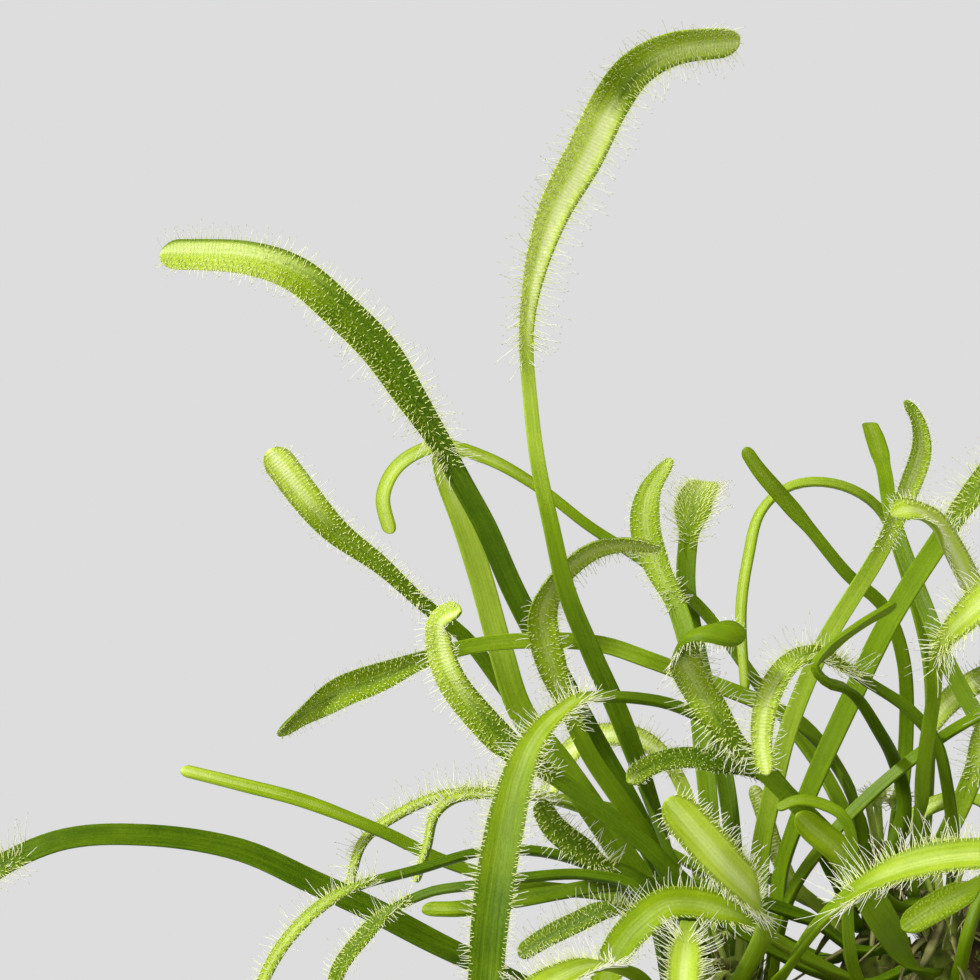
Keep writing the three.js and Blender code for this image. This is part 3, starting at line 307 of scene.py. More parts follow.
# Each leaf: number, stem, height of its foot, (blade length, blade width, neck width, stalk width,
# tentacle length and, where they aren't the usual ones, the share of the blade over which it widens, the
# share of its width that it loses towards the tip and the depth of its channel), (share of the length,
# then the way that the upper face looks there) and the points that it passes through.
leafTable = [
    (1, "left", 88.3, (52, 5.1, 1.8, 3, 3.2, 0.5, 0.1, 0.2),
     [(0.4, 0.1, -1, 0), (0.85, 0.2, -1, -0.1), (1, 0.2, -0.75, -0.6)],
     [(-25, -3.5, 92), (-28, -5, 102.5), (-31.5, -4, 112), (-35, -3, 121.5), (-38.5, -3, 129.5),
      (-41.5, -3, 137), (-43.5, -3, 145.5), (-45, -2, 152.5), (-46, 0, 160.5), (-46.5, 0, 169),
      (-45.5, 0, 176.5), (-43, 0, 184.5), (-39.5, -1, 191), (-36, -2, 198), (-33, -3, 202),
      (-28.5, -4, 204.5), (-20, -4, 205.5)]),
    (2, "left", 87, (49, 4.7, 2.8, 3.4, 2.6, 0.35, 0.04, 0.18),
     [(0.4, -0.1, -0.95, 0.15), (0.75, 0.05, -0.97, 0.1), (1, -0.1, -0.8, 0.5)],
     [(-24.5, 6, 91), (-29.5, 8, 100.5), (-33, 10, 108), (-37.5, 12, 116), (-42.5, 12, 125.5),
      (-48, 12, 136), (-51.5, 12, 144), (-54.5, 12, 149.5), (-57.5, 12, 155), (-61, 11, 160.5),
      (-65, 11, 166.5), (-70, 11, 171.5), (-75.5, 12, 176), (-81.5, 13, 178), (-93, 14, 178.5)]),
    (3, "left", 80.8, (28, 4.3, 1.9, 2.4, 1.6, 0.8, 0, 0.15),
     [(0.4, -0.2, -0.9, 0.3), (1, -0.1, -0.8, 0.6)],
     [(-25.5, 12, 92), (-30, 18, 97), (-35.5, 20, 104.5), (-42, 21, 113.5), (-49, 21, 122.5),
      (-54, 21, 129), (-59.5, 20, 133.5), (-65, 20, 138.5), (-71.5, 20, 143.5), (-79.5, 20, 153.5)]),
    (4, "back", 99, (34, 2.2, 1.5, 2.3, 0, 0.9, 0, 0.13),
     [(0.3, 0.4, -0.5, 0.7), (0.6, 0, -0.7, 0.7), (0.85, -0.5, -0.8, 0.3), (1, -0.5, -0.85, 0)],
     [(-4.5, 21, 104.5), (-8, 28, 111.5), (-15.5, 33, 121.5), (-23.5, 36, 132), (-31, 38, 138),
      (-38, 39, 142.5), (-44.5, 40, 147.5), (-51.5, 40, 151.5), (-58, 40, 153), (-63, 40, 150.5),
      (-65, 40, 146.5), (-64, 40, 141.5)]),
    (5, "left", 83.8, (10, 3.1, 3.1, 3.6, 0),
     [(0.4, 0, -1, 0.1), (1, 0, -1, 0.2)],
     [(-26, 9, 91.5), (-32, 12, 99), (-37, 14, 106.5), (-42, 16, 113.5), (-47, 17, 120),
      (-49.5, 17.5, 127.5), (-52, 18, 136.5), (-54.5, 18, 144.5), (-56.5, 18, 150), (-57.5, 18, 154)]),
    (6, "back", 99.2, (24, 4, 2, 2.6, 1.1, 0.5, 0.5, 0.26),
     [(0.3, 0.4, -0.7, 0.6), (0.6, -0.1, -0.9, 0.3), (0.88, -0.2, -0.9, 0.2), (1, 0.3, -0.6, -0.7)],
     [(-4.5, 6.5, 108), (-6.5, 8, 113), (-11.5, 8, 119), (-17, 7, 122), (-24.5, 6, 125), (-31, 6, 127.5),
      (-37, 6, 129.5), (-44.5, 6, 130), (-52.5, 5, 129.5), (-59, 2, 128), (-64.5, -1, 126), (-70, -3, 124),
      (-74.5, -4, 121.5), (-77.5, -4, 119)]),
    (7, "front", 91, (28, 3.9, 2.2, 2.6, 1.9),
     [(0.4, -0.2, -0.7, 0.7), (0.7, -0.3, -0.9, 0.3), (0.9, -0.4, -0.9, 0.1), (1, -0.3, -0.7, 0.6)],
     [(-4, -12, 89), (-10.5, -13, 90.5), (-15.5, -14, 93), (-21, -15, 96.5), (-26.5, -15, 101),
      (-31.5, -15, 106), (-37, -15, 110.5), (-42.5, -14, 114.5), (-48, -14, 118), (-52.5, -13, 122.5),
      (-55.5, -13, 126.5), (-57, -13, 130.5), (-57, -14, 134), (-54.5, -16, 135.5)]),
    (8, "front", 96.5, (46, 4.9, 1.7, 2.4, 3, 0.5, 0.16, 0.13),
     [(0.3, 0, -0.5, 0.85), (0.5, -0.1, -0.6, 0.8), (0.62, -0.4, -0.9, 0.2), (1, -0.1, -1, 0.2)],
     [(-2.5, -12, 97.5), (-8, -12.5, 105.5), (-13, -12.5, 111), (-17.5, -12, 116), (-23.5, -12, 121),
      (-28.5, -13, 123.5), (-32.5, -15, 124.5), (-37, -18, 125), (-40, -21, 125), (-42, -23.5, 124),
      (-44, -25.5, 122.5), (-46, -27, 120), (-47.5, -28.5, 116.5), (-48.5, -30, 113), (-50, -33, 106),
      (-51, -35.5, 99), (-51.5, -37, 93), (-52, -39, 88.5)]),
    (9, "left", 85, (34, 4, 2.2, 2.8, 1.8, 0.3, 0.45, 0.13),
     [(0.5, 0, -1, 0), (0.66, 0.1, -1, 0), (0.82, 0.7, -0.6, -0.4), (0.92, 0.1, -0.7, -0.7),
      (1, 0, -0.6, -0.8)],
     [(-27.5, 1.5, 97.5), (-30, 2.5, 103), (-34.5, 3, 110), (-38.5, 3, 116), (-41.5, 3, 122.5),
      (-43.5, 2.5, 128), (-44.5, 2.5, 133.5), (-43, 3, 137.5), (-38.5, 4, 141.5), (-34, 4, 142.5),
      (-29.5, 3, 142)]),
    (10, "front", 99.3, (26, 4.2, 2.2, 2.6, 2.4),
     [(0.4, -0.3, -1, 0.2), (0.72, -0.2, -1, 0), (0.86, 0.7, -0.3, -0.7), (1, 0.1, 0.9, -0.4)],
     [(-1, -15.5, 99), (-6, -18, 104), (-10.5, -19, 109), (-15.5, -19, 114), (-20, -19, 118.5),
      (-23.5, -19, 123), (-26, -18, 127), (-27.5, -19.5, 130), (-27, -22, 132.5), (-25, -23.5, 133.5),
      (-22.5, -24, 133.5), (-20, -23.5, 133)]),
    (11, "front", 96, (26, 3.3, 1.5, 1.9, 2.9, 0.35, 0.3, 0.13),
     [(0.3, -0.7, -0.6, 0), (0.55, 0, -0.7, 0.7), (0.75, -0.5, -0.8, 0.4), (1, -0.1, -1, 0.1)],
     [(7, -4, 104.5), (6, -5, 113), (4.5, -6, 118.5), (1.5, -6.5, 122), (-2, -8, 124.5),
      (-6.5, -12, 127.5), (-11, -16, 130), (-14.5, -19, 129), (-17, -21, 125.5), (-18, -22, 120.5),
      (-17.5, -24, 116)]),
    (12, "back", 96.5, (14, 2.2, 1.9, 2.2, 0),
     [(0.35, 0.5, 0.4, 0.8), (0.6, 0.2, -0.4, 0.9), (0.76, 0.3, -0.3, 0.9), (0.82, 1, -0.2, 0.2),
      (0.9, 0.5, -0.4, -0.8), (1, 0.5, -0.5, -0.7)],
     [(-1, 5, 101), (1, 5, 107), (1, 5, 111), (-0.5, 1.5, 115.5), (-3, -7, 120), (-5.5, -13, 124),
      (-7.5, -17, 126), (-10, -19.5, 127), (-11.5, -20.5, 129), (-10, -20.5, 131), (-6, -19.5, 134),
      (-1.5, -18, 136.5)]),
    (13, "left", 85.5, (38, 4.4, 3, 3, 3.2),
     [(0.4, -0.6, -0.8, 0), (0.75, -0.4, -0.8, 0.4), (1, 0, -0.6, 0.8)],
     [(-15, 3, 92.5), (-14, 5, 101), (-11, 4, 110), (-5.5, 4, 122.5), (-0.5, 3, 133), (5, 2, 142),
      (10, 0, 149.5), (17.5, -2, 157.5), (26, -4, 164.5), (35.5, -8, 167.5)]),
    (14, "back", 93, (19, 3, 1.7, 2, 0.9),
     [(0.3, -0.3, -0.9, 0.2), (0.6, -0.1, -0.8, 0.5), (0.85, -0.1, -0.8, 0.6), (1, 0.6, -0.6, 0.5)],
     [(-6, 7, 96.5), (-8.5, 4, 102.5), (-11.5, 0, 108.5), (-15, -4, 112.5), (-19, -7, 115), (-23, -8, 116),
      (-26.5, -8, 116.5), (-30, -8.5, 116), (-32.5, -10, 115), (-34, -12, 114)]),
    (15, "low", 83.6, (20, 5.4, 2.4, 2.4, 2.2),
     [(0.4, 0.2, -0.4, 0.9), (0.7, 0.3, -0.8, 0.5), (1, 0.2, -0.95, 0.2)],
     [(-21, -28, 91), (-18.5, -38, 99), (-20.5, -46, 104.5), (-23.5, -49, 108), (-27, -50, 112),
      (-30.5, -50, 116)]),
    (16, "front", 88.6, (26, 4.4, 2.4, 2.6, 2.4),
     [(0.4, 0, -0.6, 0.8), (0.7, -0.1, -0.8, 0.6), (1, -0.4, -0.9, 0.2)],
     [(-3, -17, 89), (-9.5, -22, 92), (-16, -27, 96), (-21.5, -32, 100), (-26.5, -33, 101.5),
      (-30, -34, 101.5), (-33, -35, 99.5), (-35.5, -35, 96.5), (-38, -35.5, 90.5)]),
    (17, "low", 80.6, (15, 3.8, 2, 2.2, 2.6),
     [(0.4, 0, -0.4, 0.9), (0.7, 0, -0.8, 0.6), (1, 0, -0.95, 0.3)],
     [(-27, -26, 93.5), (-27, -32, 98.5), (-27.5, -38, 99.5), (-28, -46, 98.5), (-28.5, -52, 94.5),
      (-28, -55, 89.5)]),
    (18, "low", 78.6, (36, 4.6, 2.6, 2.4, 3.2),
     [(0.4, -0.4, -0.5, 0.8), (0.6, -0.1, -0.7, 0.7), (1, 0, -0.75, 0.65)],
     [(-17.5, -26, 89), (-15.5, -36, 94.5), (-12, -42, 100.5), (-7.5, -46, 105), (-2, -49, 108),
      (6, -51, 109.5), (15, -53, 108.5), (23, -54, 104.5)]),
    (19, "right", 106, (28, 4.8, 2.6, 2.6, 2),
     [(0.3, 0.3, -0.5, 0.8), (0.7, 0.2, -0.7, 0.7), (1, -0.4, -0.7, 0.6)],
     [(17.5, 0, 109.5), (16, -2, 118), (13, -6, 127.5), (10, -10, 133.5), (7.5, -13, 139), (5, -16, 143.5),
      (3, -19, 146.5), (0, -22, 148), (-2.5, -23, 147.5)]),
    (20, "left", 82, (19, 2.9, 2.2, 2.8, 0.9, 0.5, 0.5, 0.26),
     [(0.4, -0.5, -0.85, 0), (1, 0.3, -0.9, 0.1)],
     [(-17, 6, 94.5), (-16.5, 8, 103), (-15, 7, 111), (-13, 5, 119.5), (-9, 4, 129.5), (-5.5, 4, 135.5),
      (-3, 4, 139.5), (-1, 3, 143.5), (1.5, 3, 149.5), (3, 3, 154.5), (2.5, 3, 158), (1, 3, 160.5)]),
    (21, "right", 103, (16, 2.6, 2, 2.3, 0),
     [(0.4, -0.2, -1, 0.2), (1, 0, -0.5, 0.85)],
     [(18, 8, 108.5), (14, 13, 115), (10.5, 17, 121), (7.5, 20, 127), (5.5, 23, 132.5), (3.5, 27, 138),
      (1.5, 32, 144.5), (1, 38, 149.5), (0.5, 46, 153), (0, 54, 155.5)]),
    (22, "back", 99.2, (14, 2.1, 1.6, 2.1, 0),
     [(0.3, -0.4, -0.8, 0.3), (1, -0.5, -0.6, 0.6)],
     [(1, 16, 103), (2.5, 17, 116.5), (2, 16, 127), (-0.5, 16, 133.5), (-5, 16, 137.5), (-10, 16, 143.5),
      (-13.5, 16, 147.5), (-16.5, 16, 151), (-18.5, 16, 154)]),
    (23, "back", 96.2, (28, 2, 1.4, 1.9, 0),
     [(0.25, 0.8, -0.6, 0.2), (0.55, 0, -0.6, 0.8), (0.8, -0.8, -0.6, 0.2), (1, -0.8, -0.6, 0)],
     [(4.5, 24, 100), (6.5, 32, 112.5), (6.5, 36, 125), (3.5, 38, 137), (0.5, 38, 144.5),
      (-3.5, 37, 147.5), (-8.5, 36, 148.5), (-12.5, 35, 147.5), (-15.5, 34, 144.5), (-17, 33, 139),
      (-18, 32, 132), (-17.5, 31, 121.5)]),
    (24, "left", 85, (22, 4.1, 2.7, 2.4, 1.4, 0.5, 0.55, 0.13),
     [(0.4, -0.1, -1, 0), (1, -0.3, -0.9, 0.3)],
     [(-22, 13.5, 92), (-22.5, 18, 103.5), (-23.5, 23, 116), (-24.5, 27, 125), (-26.5, 31, 132.5),
      (-29, 34, 137.5), (-30.5, 36, 142.5), (-30, 37, 147), (-27, 39, 151.5)]),
    (25, "left", 88.6, (21, 5, 2.6, 2.3, 2.6),
     [(0.4, 0, -1, 0.2), (1, 0, -0.6, 0.8)],
     [(-19.5, 15, 96.5), (-20, 26, 107.5), (-22, 34, 118.5), (-24, 39, 127.5), (-25, 43, 134.5),
      (-24.5, 47, 140.5), (-23.5, 54, 144.5), (-21.5, 66, 147)]),
    (26, "left", 79, (31, 4.3, 3.2, 3.8, 3.2),
     [(0.4, 0, -0.75, 0.7), (0.75, 0, -0.75, 0.7), (1, -0.5, -0.75, 0.3)],
     [(-32, 3, 81.5), (-42, 3, 84.5), (-56.5, 4, 91), (-66, 4, 96), (-73.5, 4, 99.5), (-82.5, 4, 103.5),
      (-94, 3, 105.5), (-105, 2, 105), (-115, 0, 100.5), (-125, -2, 93.5), (-134.5, -4, 84)]),
    (27, "back", 90.3, (26, 2.2, 1.9, 2.3, 0, 0.35, 0.1, 0.13),
     [(0.4, 0, -0.6, 0.8), (1, 0, -0.7, 0.7)],
     [(-7.5, 17, 88), (-16, 21, 91), (-25, 23, 93.5), (-36.5, 24, 95.5), (-47, 26, 96.5),
      (-57.5, 28, 99.5), (-65, 29, 103), (-75.5, 30, 107), (-83.5, 31, 109), (-91.5, 31, 111)]),
    (28, "back", 96, (26, 2, 1.3, 1.6, 2),
     [(0.4, 0, -0.5, 0.9), (0.8, -0.4, -0.5, 0.8), (1, -0.8, -0.5, 0.3)],
     [(-8.5, 21, 94.5), (-16, 27, 98), (-25, 32, 102), (-34, 33, 105.5), (-42, 34, 107), (-49.5, 33, 108),
      (-57, 32, 107.5), (-63, 32, 105), (-67.5, 32, 101.5), (-69.5, 32, 95)]),
    (29, "back", 93, (24, 1.8, 1.3, 1.6, 2.4),
     [(0.4, 0, -0.5, 0.9), (0.7, -0.3, -0.5, 0.8), (0.85, -0.8, -0.5, 0.4), (1, -0.9, -0.4, 0.2)],
     [(-11, 20, 93), (-20, 26, 96.5), (-29, 26, 101.5), (-36.5, 25, 105.5), (-43, 23, 108),
      (-50.5, 20, 109), (-55.5, 19, 108.5), (-58, 18, 106.5), (-59, 18, 102.5), (-60.5, 17, 98)]),
    (30, "left", 82, (25, 2.2, 1.3, 1.7, 2.2),
     [(0.4, 0, -0.5, 0.9), (0.75, -0.4, -0.6, 0.7), (1, -0.7, -0.6, 0.4)],
     [(-31, -1, 96), (-37, -1, 101.5), (-44.5, -1, 104), (-52.5, -2, 104), (-60, -3, 102),
      (-67.5, -4, 100), (-72, -4, 97.5), (-76.5, -5, 93), (-79.5, -5, 87.5), (-81, -5, 82)]),
    (31, "low", 79.6, (19.5, 2.6, 1.3, 1.7, 2.2),
     [(0.4, 0, -0.5, 0.9), (0.75, -0.4, -0.7, 0.6), (1, -0.7, -0.6, 0.3)],
     [(-32.5, -15, 100.5), (-38.5, -13, 102.5), (-47.5, -12, 102), (-53, -11, 101), (-58.5, -10, 100),
      (-63.5, -10, 97.5), (-67, -10, 94), (-69.5, -10, 90.5), (-70.5, -10, 86.5), (-71, -10, 82.5)]),
    (32, "front", 93.8, (18, 2.9, 2.5, 2.4, 0),
     [(0.4, 0, -0.5, 0.85), (1, 0, -0.6, 0.8)],
     [(-5, -8, 92.5), (-10.5, -8, 96), (-17.5, -8, 98.5), (-23.5, -7, 100), (-29.5, -7, 100.5),
      (-36, -7, 100.5), (-42.5, -7, 99.5), (-48.5, -7, 98.5), (-54.5, -7, 97.5), (-59.5, -7, 97.5)]),
    (33, "low", 83, (12, 3.2, 1.6, 1.8, 2.3),
     [(0.4, -0.1, -0.8, 0.6), (1, -0.3, -0.9, 0.3)],
     [(-29, -10, 97.5), (-31, -10, 100.5), (-34, -9.5, 102.5), (-37, -9, 103.5), (-40, -9, 105.5),
      (-43, -9, 108), (-45, -9, 111.5)]),
    (34, "low", 83.6, (15, 2.9, 1.5, 1.8, 2.4),
     [(0.4, 0, -0.7, 0.7), (1, -0.2, -0.85, 0.5)],
     [(-30, -20, 96.5), (-33.5, -20, 99), (-37, -20, 99), (-40.5, -20, 97.5), (-44.5, -20, 95.5),
      (-47.5, -20, 93.5)]),
    (35, "low", 77.6, (24, 4.8, 2.2, 2.4, 2.8),
     [(0.4, -0.2, -0.6, 0.8), (1, -0.4, -0.7, 0.6)],
     [(-32, -32, 91), (-36, -45, 95.5), (-39.5, -51, 96.5), (-43.5, -56, 95.5), (-48, -58, 92.5),
      (-52, -60, 88.5)]),
    (36, "front", 85.4, (8, 1.5, 1.4, 1.7, 0),
     [(0.4, 0, -1, 0.1), (0.75, 0.1, -0.9, 0.3), (1, 0, -0.8, 0.6)],
     [(0, -17, 86), (-4, -22, 88), (-7, -28, 92.5), (-8, -30, 98), (-8, -30, 104), (-7.5, -29.5, 108),
      (-8.5, -29.5, 111.5), (-11, -29, 113), (-14, -29, 113.5), (-16.5, -29, 112.5)]),
    (37, "front", 99.3, (35, 4.6, 1.8, 2, 2.6),
     [(0.4, -0.3, -0.95, 0.1), (0.7, -0.2, -0.8, 0.5), (1, 0.5, -0.6, 0.6)],
     [(1.5, -10, 105.5), (2, -11, 110.5), (2.5, -12, 116.5), (3.5, -14, 124.5), (4, -18, 131),
      (7.5, -23, 136), (11.5, -26, 139.5), (17.5, -29, 140.5), (23, -31, 138), (26.5, -33, 133)]),
    (38, "front", 90.6, (12, 3.8, 4.2, 3.4, 0),
     [(0.4, 0.2, -0.9, 0.4), (1, 0.1, -0.9, 0.4)],
     [(2.5, -17, 91), (-0.5, -20, 93.5), (-3, -22.5, 97.5), (-6, -23.5, 102.5), (-9, -24, 107),
      (-12, -24.5, 109.5), (-14, -25, 111.5)]),
    (39, "left", 81, (30, 3.8, 1.6, 2, 3),
     [(0.4, -0.5, -0.7, 0.4), (0.8, 0, -0.8, 0.6), (1, 0.5, -0.6, 0.6)],
     [(-13.5, -1, 98), (-9, -1, 105), (-4, -1, 110.5), (3.5, -2, 117), (9.5, -10, 122), (18.5, -16, 127),
      (29.5, -20, 126), (36.5, -22, 120)]),
    (40, "left", 78.4, (24, 3.6, 2, 2.4, 2),
     [(0.4, -0.2, -1, 0), (0.7, 0, -0.7, 0.7), (1, -0.5, -0.8, 0.3)],
     [(-22, 18, 84), (-22.5, 31, 90.5), (-23.5, 38, 98.5), (-25, 42, 106.5), (-28.5, 45, 112),
      (-33.5, 47, 114), (-38.5, 49, 113), (-41.5, 50, 109.5), (-43.5, 50, 105)]),
    (41, "back", 87.5, (14, 2.3, 1.7, 2, 0),
     [(0.4, 0, -0.8, 0.5), (1, 0, -0.9, 0.4)],
     [(-6.5, 12, 93), (-12, 12.5, 98), (-14.5, 12.5, 102.5), (-16, 12.5, 107), (-17.5, 12.5, 111)]),
    (42, "back", 92.5, (18, 4, 2.8, 2.4, 1.5),
     [(0.4, -0.3, -0.9, 0.3), (1, -0.4, -0.8, 0.4)],
     [(4.5, 11.5, 99), (6.5, 10, 103.5), (8.5, 9, 108), (10.5, 8.5, 113), (12.5, 8.5, 118.5),
      (15.5, 9, 123.5), (19.5, 10, 127.5)]),
    (43, "front", 88.5, (18, 3.2, 1.6, 1.8, 2),
     [(0.3, 0, 1, 0.3), (0.6, -0.3, 0.9, 0.3), (1, 0, 0.7, 0.7)],
     [(7, -15, 92), (7.5, -17, 95.5), (9, -15.5, 99.5), (11, -13, 103.5), (13.5, -12, 107.5),
      (17.5, -12, 112), (22.5, -12, 114.5)]),
    (44, "right", 98, (34, 4.2, 2.2, 2.6, 3),
     [(0.4, -0.2, -0.2, 1), (0.7, 0.1, -0.2, 1), (1, 0.9, -0.2, 0.4)],
     [(28.5, 2, 99.5), (36, 4, 103.5), (46.5, 6, 105), (57, 8, 102), (67, 8, 95), (75, 8, 85.5)]),
    (45, "right", 102, (13, 3.8, 2, 2.2, 0),
     [(0.4, 0, -0.6, 0.8), (1, -0.2, -0.9, 0.4)],
     [(16.5, -6, 103), (12.5, -17, 104), (8.5, -27, 103.5), (5, -33, 102.5), (1.5, -35.5, 101),
      (-2, -37, 99)]),
    (46, "right", 102.6, (12, 2.8, 1.8, 2.2, 0),
     [(0.4, 0, -0.5, 0.8), (1, -0.5, -0.6, 0.5)],
     [(17, 4, 103), (15.5, 10, 105.5), (14, 16, 107), (11, 20, 108.5), (6.5, 21, 107.5),
      (3.5, 21.5, 105.5), (1.5, 21.5, 102.5)]),
    (47, "right", 104, (36, 4.4, 2.2, 2.8, 3.2),
     [(0.4, -0.8, -0.4, 0.3), (0.8, -0.4, -0.3, 0.9), (1, 0, -0.3, 1)],
     [(27.5, 6, 107.5), (33, 12, 118), (41.5, 18, 129), (51, 24, 138), (62, 28, 142.5), (73, 30, 143.5)]),
    (48, "right", 104.6, (32, 4.2, 2.2, 2.6, 3),
     [(0.4, -0.6, -0.1, 0.6), (0.75, 0, -0.4, 1), (1, 0.6, -0.5, 0.6)],
     [(25, -4, 108.5), (29, -7, 120), (35.5, -10, 129), (43.5, -13, 134), (53, -17, 134),
      (59.5, -21, 128.5)]),
    (49, "right", 104.3, (34, 4.2, 2.2, 2.6, 3),
     [(0.4, -0.6, -0.6, 0.3), (1, -0.5, -0.6, 0.7)],
     [(25.5, 18, 106), (29, 32, 117.5), (32.5, 42, 130), (37.5, 50, 141.5), (43.5, 56, 152),
      (52, 60, 158.5)]),
    (50, "right", 101.3, (17, 3.6, 1.9, 2.2, 1.6),
     [(0.4, 0.1, -1, 0), (0.7, 0, -0.8, 0.6), (1, -0.4, -0.8, 0.4)],
     [(20, 15, 109), (21, 22, 117), (19, 25, 122), (15.5, 26, 124), (11.5, 26.5, 122.5), (8.5, 27, 120),
      (5.5, 27.5, 116)]),
    (51, "right", 101.6, (32, 4.2, 2.2, 2.6, 3),
     [(0.35, -0.3, 0.5, 0.6), (0.75, -0.4, -0.1, 0.9), (1, 0.2, -0.5, 0.9)],
     [(21.5, -18, 102.5), (22, -32, 112.5), (22, -42, 122), (24, -50, 130), (28, -56, 134),
      (32.5, -62, 133)]),
    (52, "right", 107.5, (40, 4.6, 2.2, 2.8, 3.4),
     [(0.4, -0.8, -0.5, 0.1), (0.8, -0.6, -0.5, 0.6), (1, 0, -0.3, 1)],
     [(25.5, 8, 111), (25, 10, 122), (27.5, 14, 136), (31, 18, 149.5), (37, 22, 162.5), (46, 24, 171.5),
      (56, 24, 174)]),
]

sizeNames = ("blade", "width", "neck", "stalk", "hair", "spread", "taper", "channel")
usualSizes = {"spread": 0.3, "taper": 0.16, "channel": 0.13}
leaves = [dict(zip(("number", "crown", "footHeight", "sizes", "faces", "points"), row)) for row in leafTable]
for leaf in leaves:
    leaf["sizes"] = {**usualSizes, **dict(zip(sizeNames, leaf["sizes"]))}
    leaf["sizes"]["hair"] = fringe.get(leaf["number"], leaf["sizes"]["hair"])


def curveThrough(knots, distances=None, dense=40):
    # Centripetal Catmull-Rom: c0 + c1 u + c2 u² + c3 u³ on each span, its tangents from knots whose
    # parameters are the square roots of their distances apart. Read off at distances along it.
    ends = np.vstack([2 * knots[0] - knots[1], knots, 2 * knots[-1] - knots[-2]])
    gap = np.sqrt(np.linalg.norm(np.diff(ends, axis=0), axis=1))[:, None]
    before, start, stop, after = ends[:-3], ends[1:-2], ends[2:-1], ends[3:]
    g0, g1, g2 = gap[:-2], gap[1:-1], gap[2:]
    leave = ((start - before) / g0 - (stop - before) / (g0 + g1) + (stop - start) / g1) * g1
    arrive = ((stop - start) / g1 - (after - start) / (g1 + g2) + (after - stop) / g2) * g1
    square = 3 * (stop - start) - 2 * leave - arrive
    cubic = np.stack([start, leave, square, 2 * (start - stop) + leave + arrive])

    def at(t):  # the place and the way along the curve
        span = np.minimum(t.astype(int), len(start) - 1)
        u = (t - span)[:, None]
        c = cubic[:, span]
        return c[0] + u * (c[1] + u * (c[2] + u * c[3])), unit(c[1] + u * (2 * c[2] + 3 * u * c[3]))

    t = np.linspace(0, len(start), dense * len(start) + 1)
    run = np.concatenate([[0], np.cumsum(np.linalg.norm(np.diff(at(t)[0], axis=0), axis=1))])
    return run[-1] if distances is None else at(np.interp(distances, run, t))


def leafRoute(leaf):
    # The foot stands against the stem on the side that looks towards the first point.
    x, y = crowns[leaf["crown"]][:2]
    firstX, firstY = leaf["points"][0][:2]
    around = math.atan2(firstY - y, firstX - x)
    start = stemRadius + footGap + leafLook["stalkThickness"] / 2
    foot = np.array([x + start * math.cos(around), y + start * math.sin(around), leaf["footHeight"]])
    marks = np.array([(0, -0.6 * math.cos(around), -0.6 * math.sin(around), 0.8), *leaf["faces"]])
    return np.vstack([foot, leaf["points"]]), marks


def facesAt(marks, shares, along):
    # The stated ways blended by t²(3 − 2t) between their shares and squared up to the leaf's own way.
    i = np.clip(np.searchsorted(marks[:, 0], shares) - 1, 0, len(marks) - 2)
    ways = unit(marks[:, 1:])
    face = mix(ways[i], ways[i + 1], smooth(marks[i, 0], marks[i + 1, 0], shares)[:, None])
    return unit(face - along * np.sum(face * along, axis=1, keepdims=True))


def leafWidths(sizes, distance, length):
    # A stalk that narrows to its neck, a blade that widens from it and a round tip: √(1 − r²).
    blade, width, stalk = sizes["blade"], sizes["width"], sizes["stalk"]
    bladeStart = length - blade
    broad = mix(min(stalk, 2.2), stalk, smooth(1, 14, distance))
    run = mix(broad, sizes["neck"], smooth(0.2 * bladeStart, bladeStart, distance))
    run = mix(run, width, smooth(bladeStart, bladeStart + sizes["spread"] * blade, distance))
    slim = 1 - sizes["taper"] * smooth(length - 0.45 * blade, length, distance)
    fromTip = np.minimum(1, (length - distance) / (leafLook["tipShare"] * width))
    tip = np.sqrt(np.maximum(0, 1 - (1 - fromTip) ** 2))
    return run * slim * tip, tip


def leafStations(leaf):
    # Stations a step apart on the stalk and the blade, which close in as sin a over the round tip, and what
    # the shape and the colours need at each.
    number, sizes = leaf["number"], leaf["sizes"]
    knots, marks = leafRoute(leaf)
    length = curveThrough(knots)
    tipLength = leafLook["tipShare"] * sizes["width"]
    bladeStart, tipStart = length - sizes["blade"], length - tipLength
    stalkSteps = max(6, math.ceil(bladeStart / leafLook["stalkStep"]))
    bladeSteps = math.ceil((sizes["blade"] - tipLength) / leafLook["bladeStep"])
    distance = np.concatenate([
        np.linspace(0, bladeStart, stalkSteps, endpoint=False),
        np.linspace(bladeStart, tipStart, bladeSteps, endpoint=False),
        tipStart + (length - tipStart) * np.sin(np.linspace(0, math.pi / 2, 8))[:-1],
    ])
    place, along = curveThrough(knots, distance)
    face = facesAt(marks, distance / length, along)
    widths, tip = leafWidths(sizes, distance, length)
    kind = smooth(bladeStart - 4, bladeStart + 6, distance)  # 0 on the stalk, 1 on the blade
    # tones along the leaf: its own greens together with painted light and shade
    tones = np.array(leafTonesAndShading.get(number, usualTone))
    return {
        "place": place, "along": along, "face": face, "across": np.cross(along, face), "distance": distance,
        "width": widths, "tip": tip, "kind": kind, "bladeStart": bladeStart, "length": length,
        "thickness": mix(leafLook["stalkThickness"], leafLook["bladeThickness"], kind),
        "lift": widths * mix(leafLook["stalkChannel"], sizes["channel"], kind),
        "toneAndShading": np.interp(distance / length, tones[:, 0], tones[:, 1]),
        "relief": smoothLeaves.get(number, 1.0), "shift": channelPlace.get(number, 0.0),
        "end": curveThrough(knots, np.array([length]))[0][0],
    }


def sectionHeight(side, raised, lift, thickness, kind):
    # How far a point of the section stands off the middle line along the face:
    # −l/2 + (l + 0.15 t) |s|^1.7 ± t/2 (1 − 0.3 s²), l the channel's depth, less the grooves of the stalk.
    groove = (0.5 + 0.5 * np.cos(leafLook["grooves"] * math.pi * side)) * (1 - side ** 4)
    depth = leafLook["grooveDepth"] * (1 - kind) * groove * np.sign(raised)
    return (-lift / 2 + (lift + 0.15 * thickness) * np.abs(side) ** 1.7
            + thickness / 2 * (1 - 0.3 * side ** 2) * raised - depth)


